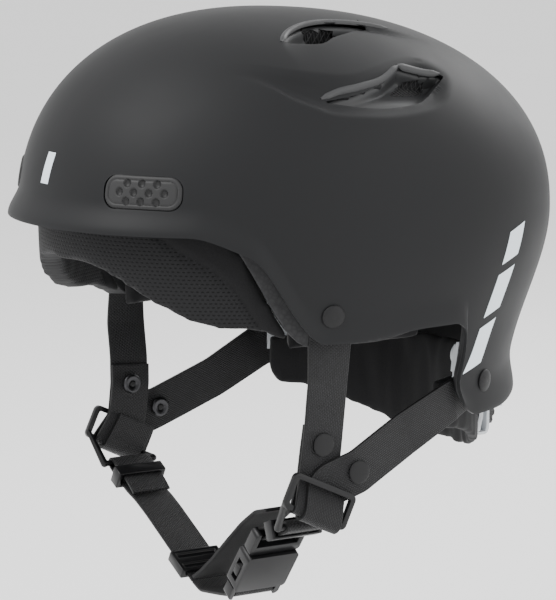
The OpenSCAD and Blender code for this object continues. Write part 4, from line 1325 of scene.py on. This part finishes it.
class HELMET_OT_straps(bpy.types.Operator):
    """Riveted side straps folded round the strap rings"""
    bl_idname = "helmet.straps"
    bl_label = "Build side straps"

    def execute(self, context):
        look = webbing_finish("side webbing", 1.0)
        front_in = -4.0            # inner run of the front strap, out from the ring's middle
        rear_in = front_in + LAYER
        front_round, rear_round = 2.3, 2.3 + LAYER
        path = [dome_mm(74.5, z, STRAP_DEPTH) for z in (-28, -37, -49)]
        path += [np.array([98.2, STRAP_Y + 0.5, -68]), np.array([95.6, STRAP_Y + 0.6, -86]),
                 SNAP_FRONT]
        path += ring_loop(front_in, front_round, front_in - LAYER, -2)
        path += [SNAP_FRONT - [LAYER, 0, 0], np.array([93.7, STRAP_Y + 0.6, -90])]
        sides = [shell_side(74.5, -37)] * 3 + [[0, 1, 0], [0, 1, 0], [0, 1, -0.12]]
        sides += [RING_ALONG] * 11 + [[0, 1, -0.12], [0, 1, 0]]
        front = ribbon("front_strap_left", path, sides, seed=2.0, wander=0.25)
        start, mid, leave = (dome_mm(deg, z, STRAP_DEPTH) for deg, z in (
            (124.2, -76.5), (118.2, -80), (108.2, -86.5)))
        path = [start, mid, leave, np.array([90.5, 12, -101]), SNAP_REAR]
        path += ring_loop(rear_in, rear_round, front_in - 2 * LAYER, 3.2)
        across = np.array([0, 0.4, -0.92])
        tilt = np.cross(dome_normal(118.2, -0.080), mid - start)
        sides = [tilt / np.linalg.norm(tilt)] * 3 + [across, across + [0, 0.1, 0]]
        sides += [RING_ALONG] * 11
        rear = ribbon("rear_strap_left", path, sides, seed=7.0, wander=0.3)
        for o, word in ((front, "front_strap_"), (rear, "rear_strap_")):
            other = mirrored(o, word + "right")
            for piece, hand in ((o, "left"), (other, "right")):
                dress(piece, look, "helmet", [word + hand])
        return {"FINISHED"}


class HELMET_OT_chin(bpy.types.Operator):
    """Chin webbing with its folds, and the flap behind the buckle"""
    bl_idname = "helmet.chin"
    bl_label = "Build chin webbing"

    def execute(self, context):
        look = webbing_finish("chin webbing", 0.8)
        cross = np.array([0, 1.0, 0])

        def arc(middle, start, end, count=7):
            return [middle + LOOP_MID * np.array([math.cos(a), 0, math.sin(a)])
                    for a in np.radians(np.linspace(start, end, count))]

        d = PLUG_BAR - EYE
        lean = math.degrees(math.atan2(d[2], d[0]))
        path = arc(EYE, lean + 90, lean + 270) + arc(PLUG_BAR, lean - 90, lean + 90)
        o = ribbon("chin_strap_left", path, [cross] * len(path), closed=True, step=0.8)
        dress(o, look, "helmet", ["chin_strap_left"])

        lean = math.degrees(math.atan2(CHIN_DIR[2], CHIN_DIR[0]))
        up = np.array([-CHIN_DIR[2], 0, CHIN_DIR[0]])
        path = [EYE_RIGHT + 27 * CHIN_DIR + 1.2 * up, EYE_RIGHT + 20 * CHIN_DIR + 2.4 * up,
                EYE_RIGHT + 8 * CHIN_DIR + LOOP_MID * up]
        path += arc(EYE_RIGHT, lean + 90, lean + 270)
        path += [EYE_RIGHT + 8 * CHIN_DIR - LOOP_MID * up, EYE_RIGHT + 20 * CHIN_DIR - 2.2 * up,
                 EYE_RIGHT + 30 * CHIN_DIR - 0.6 * up, EYE_RIGHT + 42 * CHIN_DIR,
                 EYE_RIGHT + 60 * CHIN_DIR, EYE_RIGHT + 82 * CHIN_DIR, FOOT]
        o = ribbon("chin_strap_right", path, [cross] * len(path), wander=0.15, seed=5.0)
        dress(o, look, "helmet", ["chin_strap_right"])

        low = SOCKET_BAR + np.array([0, 0, -LOOP_MID])
        path = [FOOT + [0.3, 0, -0.2], FOOT + [8, 0, -3.2], SOCKET_BAR + [-14, 0, -4.6],
                SOCKET_BAR + [-6, 0, -3.4], low]
        path += arc(SOCKET_BAR, -60, 225, 9)
        o = ribbon("socket_strap", path, [cross] * len(path), seed=9.0)
        dress(o, look, None, ["socket_strap"])
        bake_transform(o)

        path = [[71, -43, -134.5], [60, -43, -137.5], [47, -43, -146.5], [34, -43, -157],
                [20, -43, -169], [8, -43, -178], [0.5, -43, -182.8]]
        o = ribbon("chin_flap", path, [cross] * 7, width=24, wall=1.8, wander=0.3, seed=3.0)
        dress(o, padding_finish("flap lining", False), "helmet", ["chin_flap"])
        return {"FINISHED"}


def webbing_finish(name, tone):
    """Narrow woven polyester: rows of raised yarns, a sheen along them, painted highlight on the
    high points of the yarns and painted shade in the gaps between them.
    """
    m, t, shader, where = begin(name, 0.55)
    weave = place_group(t, "weave", where.outputs["UV"], Across=1000.0, Along=620.0)
    grain = place_group(t, "grain", where.outputs["Object"], Fineness=900.0)
    # painted shade and painted highlight: the low gaps of the weave are darkened and its raised
    # yarns lightened, by their height
    dark = ramp(t, weave.outputs["Height"], scaled(colours().webbing, 0.35 * tone),
                scaled(colours().webbing, 1.9 * tone), 0.15, 0.9)
    yarn = ramp(t, weave.outputs["Shade"], (0.72, 0.72, 0.72), (1.25, 1.25, 1.28))
    base = blend_colours(t, 1.0, dark, yarn, "MULTIPLY")
    t.links.new(base, shader.inputs["Base Color"])
    t.links.new(spread(t, grain.outputs["Patches"], 0.42, 0.62, 0.3, 0.7),
                shader.inputs["Roughness"])
    shader.inputs["Specular IOR Level"].default_value = 0.28
    shader.inputs["Sheen Weight"].default_value = 0.06
    shader.inputs["Sheen Roughness"].default_value = 0.4
    bump(t, shader, weave.outputs["Height"], 0.7, 0.00035)
    return m


def padding_finish(name, knit=True):
    """Spacer knit with eyelets painted darker as painted shade in the holes, or a smooth brushed
    lining.
    """
    m, t, shader, where = begin(name, 0.85)
    grain = place_group(t, "grain", where.outputs["Object"], Fineness=1500.0)
    shader.inputs["Specular IOR Level"].default_value = 0.2
    shader.inputs["Sheen Weight"].default_value = 0.06
    shader.inputs["Sheen Roughness"].default_value = 0.5
    if not knit:
        t.links.new(ramp(t, grain.outputs["Height"], scaled(colours().knit, 0.8),
                         scaled(colours().knit, 1.5), 0.3, 0.7), shader.inputs["Base Color"])
        t.links.new(spread(t, grain.outputs["Patches"], 0.75, 0.92), shader.inputs["Roughness"])
        bump(t, shader, grain.outputs["Height"], 0.35, 0.0002)
        return m
    cells = place_group(t, "knit", where.outputs["UV"], Pitch=430.0)
    # painted shade: the eyelets, low in the bump, are coloured far darker than the knit around them
    base = ramp(t, cells.outputs["Holes"], scaled(colours().knit, 1.7), scaled(colours().knit, 0.3))
    t.links.new(base, shader.inputs["Base Color"])
    t.links.new(spread(t, grain.outputs["Patches"], 0.75, 0.92), shader.inputs["Roughness"])
    both = maths(t, "ADD", cells.outputs["Height"],
                 maths(t, "MULTIPLY", grain.outputs["Height"], 0.3))
    bump(t, shader, both, 0.6, 0.0005)
    return m


# ---------------------------------------------------------------- padding

def dome_block(name, first, last, near, wall, top, bottom, across, up):
    """A block that follows the dome between two bearings, set in from its outer face."""
    o, u, v = lattice(name, across, up)
    t = first + (last - first) * u
    hi, lo = top(t), bottom(t)
    z = lo + (hi - lo) * v
    set_coords(o, dome(t, z * MM, near * MM))
    modify(o, "SOLIDIFY", thickness=wall * MM, offset=-1, use_even_offset=True)
    weld(o, 0.00002)
    return o


def settle_cloth(o, voxel, cap, near):
    """Remeshes a pad and lets cloth pressure fill it, held on the side against the liner."""
    activate(o)
    o.data.remesh_voxel_size = voxel
    bpy.ops.object.voxel_remesh()
    rest = coords(o)
    held = o.vertex_groups.new(name="held")
    inner = [i for i, p in enumerate(rest) if dome_depth(p) < near * MM + 0.0012]
    held.add(inner, 1.0, "REPLACE")
    m = o.modifiers.new("Cloth", "CLOTH")
    m.settings.quality = 6
    m.settings.mass = 0.25
    m.settings.tension_stiffness = 18
    m.settings.compression_stiffness = 12
    m.settings.shear_stiffness = 6
    m.settings.bending_stiffness = 0.6
    m.settings.use_pressure = True
    m.settings.uniform_pressure_force = sizes().swell
    m.settings.effector_weights.gravity = 0
    m.settings.vertex_group_mass = "held"
    m.collision_settings.use_collision = False
    m.point_cache.frame_start, m.point_cache.frame_end = 1, 20
    scene = bpy.context.scene
    for f in range(1, 21):
        scene.frame_set(f)
    shaped = o.evaluated_get(bpy.context.evaluated_depsgraph_get())
    move = rows(shaped.data.vertices, "co") - rest
    far = np.linalg.norm(move, axis=1, keepdims=True)
    move *= np.minimum(1, cap / np.maximum(far, 1e-9))
    o.modifiers.remove(m)
    o.vertex_groups.remove(held)
    set_coords(o, rest + move)
    scene.frame_set(1)


def dome_depth(p):
    """Rough depth of a point inside the shell's outer face, from its bearing and level."""
    t = math.degrees(math.atan2(p[0] / sizes().half_width, -p[1] / (
        sizes().front_length if p[1] < 0 else sizes().rear_length)))
    s, c = math.sin(math.radians(t)), math.cos(math.radians(t))
    # plan bearings run by the squareness of the outline
    t = math.degrees(math.atan2(math.copysign(abs(s) ** (PLAN_POWER / 2), s),
                                math.copysign(abs(c) ** (PLAN_POWER / 2), c)))
    face = dome(t, p[2])
    return math.hypot(face[0], face[1]) - math.hypot(p[0], p[1])


def surface_uv(o):
    """UV in metres round and up the dome."""
    co = coords(o)
    t = np.arctan2(co[:, 0], -co[:, 1])
    grid_uv(o, t * 0.112, co[:, 2])


def bearing_of(co):
    """Bearing of each point on the plan outline."""
    reach = np.where(co[:, 1] < 0, sizes().front_length, sizes().rear_length)
    s = (np.abs(co[:, 0]) / sizes().half_width) ** (PLAN_POWER / 2)
    c = (np.abs(co[:, 1]) / reach) ** (PLAN_POWER / 2)
    t = np.degrees(np.arctan2(s, c))
    return np.sign(co[:, 0]) * np.where(co[:, 1] > 0, 180 - t, t)


# Depths of the pads inside the shell's outer face, in millimetres
BROW_DEPTH, INNER_DEPTH, NAPE_DEPTH = 9.6, 20.6, 17.3
SEAM_DEEP, SEAM_WIDE = 0.9, 1.5
# Bearings and levels along the seam between the knit front and the smooth side
SEAM = [(0, 8), (28, 6), (33, 1), (37, -4.8), (42, -10), (47, -15.5), (52, -24), (55, -33),
        (57.5, -41), (60, -47), (80, -62)]


def seam_above(co):
    """Distance above the seam between the knit front and the smooth side, in millimetres."""
    line = np.array(SEAM)
    return co[:, 2] / MM - np.interp(np.abs(bearing_of(co)), line[:, 0], line[:, 1])


def level(z):
    """An edge at one level all the way along."""
    return lambda t: z + 0 * t


def finish_pad(o, look, node, body="helmet"):
    """Smooths a pad, and gives it its cover, its node and its body."""
    modify(o, "SUBSURF", levels=1, render_levels=1)
    surface_uv(o)
    edit(o, lambda: bpy.ops.mesh.normals_make_consistent(inside=False))
    activate(o)
    bpy.ops.object.shade_smooth()
    o.name = node + "_pad" if not node.endswith("pad") else node + "_cover"
    dress(o, look, body, [node])


def liner_low(f):
    """Level of the liner's lower edge, in millimetres, at a folded bearing."""
    return (2 + 3 + (-50 - 2 - 5) * ease((f - 48) / 22) + (-44 + 50 + 2) * ease((f - 84) / 20))


class HELMET_OT_pads(bpy.types.Operator):
    """Forehead, side, nape, rear and crown pads, all but the crown pad filled by cloth pressure"""
    bl_idname = "helmet.pads"
    bl_label = "Build pads"

    def execute(self, context):
        knit, plain = padding_finish("knit cover", True), padding_finish("brushed cover", False)
        top = lambda t: liner_low(fold(t)) - 1.5
        low = lambda t: np.minimum(-15.2 - 28 * ease((fold(t) - 8) / 44)
                                   - 6 * ease((fold(t) - 56) / 9), top(t) - 4)
        o = dome_block("forehead", -65, 65, BROW_DEPTH, 11.4, top, low, 130, 12)
        settle_cloth(o, 0.004, 0.0035, BROW_DEPTH)
        finish_pad(o, knit, "forehead_pad")
        self.seam(o, plain)

        o = dome_block("side", 66.2, 102.4, INNER_DEPTH, 6.2, level(-11), level(-55.2), 60, 40)
        settle_cloth(o, 0.004, 0.003, INNER_DEPTH)
        other = mirrored(o, "side_right")
        finish_pad(o, plain, "side_pad_left")
        finish_pad(other, plain, "side_pad_right")

        o = dome_block("rear", 139, 221, INNER_DEPTH, 5.6, level(25), level(-40), 80, 50)
        settle_cloth(o, 0.0045, 0.003, INNER_DEPTH)
        finish_pad(o, knit, "rear_pad")

        o, u, v = lattice("crown", 60, 20)
        t, a = -180 + 360 * u, np.radians(49.5 + 40.5 * v)
        crown = sizes().crown_height - INNER_DEPTH * MM
        z = np.minimum(crown * np.sin(a) ** (2 / DOME_POWER), crown * 0.9999)
        set_coords(o, dome(t, z, INNER_DEPTH * MM))
        weld(o, 0.0002)
        modify(o, "SOLIDIFY", thickness=0.0056, offset=-1, use_even_offset=True)
        activate(o)
        o.data.remesh_voxel_size = 0.005
        bpy.ops.object.voxel_remesh()
        finish_pad(o, knit, "crown_pad")

        low = lambda t: (-104.4 - 23 * ease((fold(t) - 109) / 60)
                         + 9 * (1 - ease((fold(t) - 109) / 5)) ** 2)
        o = dome_block("nape", 109.8, 250.2, NAPE_DEPTH, 5.0,
                       lambda t: -79.6 + 5 * ease((fold(t) - 125) / 25), low, 150, 16)
        settle_cloth(o, 0.004, 0.003, NAPE_DEPTH)
        finish_pad(o, plain, "nape_pad", "cradle")
        self.wrinkle(o)
        return {"FINISHED"}

    def seam(self, o, look):
        """Sews a smooth side panel to the knit front of the forehead pad."""
        co = coords(o)
        groove = SEAM_DEEP * MM * np.exp(-(seam_above(co) / SEAM_WIDE) ** 2)
        co -= rows(o.data.vertices, "normal") * groove[:, None]
        set_coords(o, co)
        o.data.materials.append(look)
        side = (seam_above(rows(o.data.polygons, "center")) > 0).astype(int)
        o.data.polygons.foreach_set("material_index", side)

    def wrinkle(self, o):
        """Soft upright folds where the cushion bends round the nape."""
        co = coords(o)
        t = bearing_of(co)
        lift = np.array([noise.noise(Vector((b * 0.22, c[2] * 18, 4.0))) for b, c in zip(t, co)])
        co += rows(o.data.vertices, "normal") * (lift * 0.9 * MM)[:, None]
        set_coords(o, co)


# ---------------------------------------------------------------- hard pieces

def plastic_finish(name, tone, rough, sheen):
    """Moulded plastic: fine grain, worn edges and light scuffs."""
    m, t, shader, where = begin(name, rough)
    grain = place_group(t, "grain", where.outputs["Object"], Fineness=2600.0)
    scuffs = place_group(t, "scuffs", where.outputs["Object"], Amount=0.5)
    edges = place_group(t, "edges", Low=0.52, High=0.62)
    base = ramp(t, grain.outputs["Patches"], scaled(tone, 0.9), scaled(tone, 1.1), 0.35, 0.65)
    for mask, k in ((edges, 1.6), (scuffs, 1.9)):
        base = blend_colours(t, maths(t, "MULTIPLY", mask.outputs["Mask"], 0.3), base,
                             scaled(tone, k))
    t.links.new(base, shader.inputs["Base Color"])
    t.links.new(spread(t, grain.outputs["Patches"], rough - 0.05, rough + 0.07, 0.35, 0.65),
                shader.inputs["Roughness"])
    shader.inputs["Specular IOR Level"].default_value = sheen
    bump(t, shader, grain.outputs["Height"], 0.12, 0.00004)
    return m


def metal_finish(name, tone, rough):
    """Plated metal with slow patches and hairlines."""
    m, t, shader, where = begin(name, rough, 1.0)
    grain = place_group(t, "grain", where.outputs["Object"], Fineness=3000.0)
    scuffs = place_group(t, "scuffs", where.outputs["Object"], Amount=1.0)
    base = ramp(t, grain.outputs["Patches"], scaled(tone, 0.85), tone, 0.35, 0.65)
    t.links.new(base, shader.inputs["Base Color"])
    t.links.new(maths(t, "ADD", spread(t, grain.outputs["Patches"], rough - 0.06, rough + 0.08),
                      maths(t, "MULTIPLY", scuffs.outputs["Mask"], 0.1)),
                shader.inputs["Roughness"])
    bump(t, shader, grain.outputs["Height"], 0.08, 0.00003)
    return m


class HELMET_OT_fittings(bpy.types.Operator):
    """Rivets, snaps, rings, keepers, adjuster and buckle, with rounded edges"""
    bl_idname = "helmet.fittings"
    bl_label = "Build fittings"

    def execute(self, context):
        cap = plastic_finish("coated cap", (0.010, 0.010, 0.0105), 0.5, 0.22)
        black = plastic_finish("buckle plastic", (0.0045, 0.0045, 0.005), 0.36, 0.28)
        steel = metal_finish("plated steel", (0.56, 0.56, 0.58), 0.32)
        dark = metal_finish("blackened steel", (0.055, 0.055, 0.058), 0.36)
        plan = [("strap_rivets", cap, "rivet_plastic", 0.0003, "helmet"),
                ("rivet_washers", steel, "plated_metal", 0.0002, "helmet"),
                ("snap_caps", cap, "rivet_plastic", 0.0003, "helmet"),
                ("snap_sockets", dark, "dark_metal", 0.0002, "helmet"),
                ("strap_ring_left", black, "buckle_plastic", 0.0006, "helmet"),
                ("strap_ring_right", black, "buckle_plastic", 0.0006, "helmet"),
                ("chin_link_left", black, "buckle_plastic", 0.0007, "helmet"),
                ("chin_link_right", black, "buckle_plastic", 0.0007, "helmet"),
                ("strap_adjuster", black, "buckle_plastic", 0.0006, "adjuster"),
                ("buckle_plug", black, "buckle_plastic", 0.0006, "helmet"),
                ("latch_arm_front", black, "buckle_plastic", 0.0005, "latch_front"),
                ("latch_arm_rear", black, "buckle_plastic", 0.0005, "latch_rear"),
                ("buckle_socket", black, "buckle_plastic", 0.0008, "socket_half")]
        for node, look, slot, bevel, body in plan:
            o = refined(node, bevel)
            dress(o, look, body, [node])
        return {"FINISHED"}


class HELMET_OT_fit_system(bpy.types.Operator):
    """Anchors, arms, cradle, racks and dial at the nape"""
    bl_idname = "helmet.fit_system"
    bl_label = "Build fit system"

    def execute(self, context):
        pale = plastic_finish("fit plastic", tuple(colours().fit), 0.42, 0.45)
        rubber = rubber_finish("dial rubber", (0.018, 0.018, 0.019))
        steel = metal_finish("bright steel", (0.58, 0.58, 0.60), 0.28)
        plan = [("fit_anchor_left", pale, "fit_plastic", 0.0004, "helmet"),
                ("fit_anchor_right", pale, "fit_plastic", 0.0004, "helmet"),
                ("fit_cradle", pale, "fit_plastic", 0.0006, "cradle"),
                ("dial_housing", pale, "fit_plastic", 0.0005, "cradle"),
                ("dial_screw", steel, "plated_metal", 0.0002, "cradle"),
                ("click_spring", steel, "plated_metal", 0.0, "cradle"),
                ("dial_knob", rubber, "soft_rubber", 0.0004, "dial"),
                ("fit_rack_left", pale, "fit_plastic", 0.0002, "rack_left"),
                ("fit_rack_right", pale, "fit_plastic", 0.0002, "rack_right")]
        for node, look, slot, bevel, body in plan:
            o = refined(node, bevel)
            dress(o, look, body, [node])
        for side, word in SIDES:
            node = "fit_arm_" + word
            o = refined(node, 0.0005)
            dress(o, pale, None, [node])
            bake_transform(o)
        return {"FINISHED"}


# ---------------------------------------------------------------- stage

VIEW_ROUND, VIEW_UP, VIEW_FAR = 58, 9, 1.5    # degrees, degrees, metres


class HELMET_OT_stage(bpy.types.Operator):
    """Pale floor, soft studio light and camera"""
    bl_idname = "helmet.stage"
    bl_label = "Build stage"

    def execute(self, context):
        clear()
        bpy.ops.mesh.primitive_plane_add(size=40, location=(0, 0, -0.30))
        floor = bpy.context.object
        floor.name = "floor"
        m, t, shader, where = begin("floor", 0.9)
        soft = add(t, "ShaderNodeTexNoise", Scale=3.0)
        t.links.new(where.outputs["Object"], soft.inputs["Vector"])
        t.links.new(ramp(t, soft.outputs["Fac"], (0.93, 0.93, 0.93), (0.95, 0.95, 0.95)),
                    shader.inputs["Base Color"])
        floor.data.materials.append(m)

        azimuth, elevation = math.radians(VIEW_ROUND), math.radians(VIEW_UP)
        right = Vector((math.cos(azimuth), math.sin(azimuth), 0))
        up = Vector((-math.sin(azimuth) * math.sin(elevation),
                     math.cos(azimuth) * math.sin(elevation), math.cos(elevation)))
        back = Vector((math.sin(azimuth) * math.cos(elevation),
                       -math.cos(azimuth) * math.cos(elevation), math.sin(elevation)))
        bpy.ops.object.camera_add(location=right * -0.0033 + up * -0.0457 + back * VIEW_FAR)
        camera = bpy.context.object
        camera.name = "studio_camera"
        camera.rotation_euler = Matrix((right, up, back)).transposed().to_euler()
        camera.data.sensor_fit = "AUTO"
        camera.data.sensor_width = 36
        camera.data.lens = 178.65
        camera.data.clip_start = 0.1
        camera.data.dof.use_dof = False
        context.scene.camera = camera

        world = bpy.data.worlds.new("studio")
        world.use_nodes = True
        world.node_tree.nodes["Background"].inputs["Color"].default_value = (1, 1, 1, 1)
        world.node_tree.nodes["Background"].inputs["Strength"].default_value = 1.35
        context.scene.world = world
        for name, spot, size, power in (
                ("key", right * -0.9 + up * 1.1 + back * 0.7, 1.0, 26),
                ("fill", right * 1.2 + up * 0.3 + back * 0.8, 1.2, 7),
                ("rim", right * 0.9 + up * 0.9 - back * 0.8, 0.9, 12)):
            bpy.ops.object.light_add(type="AREA", location=spot)
            lamp = bpy.context.object
            lamp.name = name
            lamp.data.size = size
            lamp.data.energy = power
            aim = Vector((0, 0, -0.02)) - spot
            lamp.rotation_euler = aim.to_track_quat("-Z", "Y").to_euler()
        return {"FINISHED"}


# ---------------------------------------------------------------- add-on

class HELMET_PT_panel(bpy.types.Panel):
    """Sizes and build buttons"""
    bl_idname = "HELMET_PT_panel"
    bl_label = "Water helmet"
    bl_space_type = "VIEW_3D"
    bl_region_type = "UI"
    bl_category = "Helmet"

    def draw(self, context):
        box = self.layout.box()
        for name in ("half_width", "front_length", "rear_length", "crown_height", "shell_wall",
                     "web_width", "web_wall", "swell"):
            box.prop(context.scene.helmet_sizes, name)
        box = self.layout.box()
        for name in ("shell", "mark", "webbing", "knit", "fit"):
            box.prop(context.scene.helmet_colours, name)
        for step in STEPS:
            self.layout.operator(step.bl_idname)


STEPS = (HELMET_OT_shell, HELMET_OT_vents, HELMET_OT_liner, HELMET_OT_plugs, HELMET_OT_marks,
         HELMET_OT_straps, HELMET_OT_chin, HELMET_OT_pads, HELMET_OT_fittings, HELMET_OT_fit_system,
         HELMET_OT_stage)
CLASSES = (HelmetSizes, HelmetColours) + STEPS + (HELMET_PT_panel,)


def register():
    for c in CLASSES:
        bpy.utils.register_class(c)
    bpy.types.Scene.helmet_sizes = bpy.props.PointerProperty(type=HelmetSizes)
    bpy.types.Scene.helmet_colours = bpy.props.PointerProperty(type=HelmetColours)


def unregister():
    del bpy.types.Scene.helmet_colours
    del bpy.types.Scene.helmet_sizes
    for c in reversed(CLASSES):
        bpy.utils.unregister_class(c)


def main():
    register()
    bpy.ops.helmet.shell()
    bpy.ops.helmet.vents()
    bpy.ops.helmet.liner()
    bpy.ops.helmet.plugs()
    bpy.ops.helmet.marks()
    bpy.ops.helmet.straps()
    bpy.ops.helmet.chin()
    bpy.ops.helmet.pads()
    bpy.ops.helmet.fittings()
    bpy.ops.helmet.fit_system()
    bpy.ops.helmet.stage()


if __name__ == "__main__":
    main()
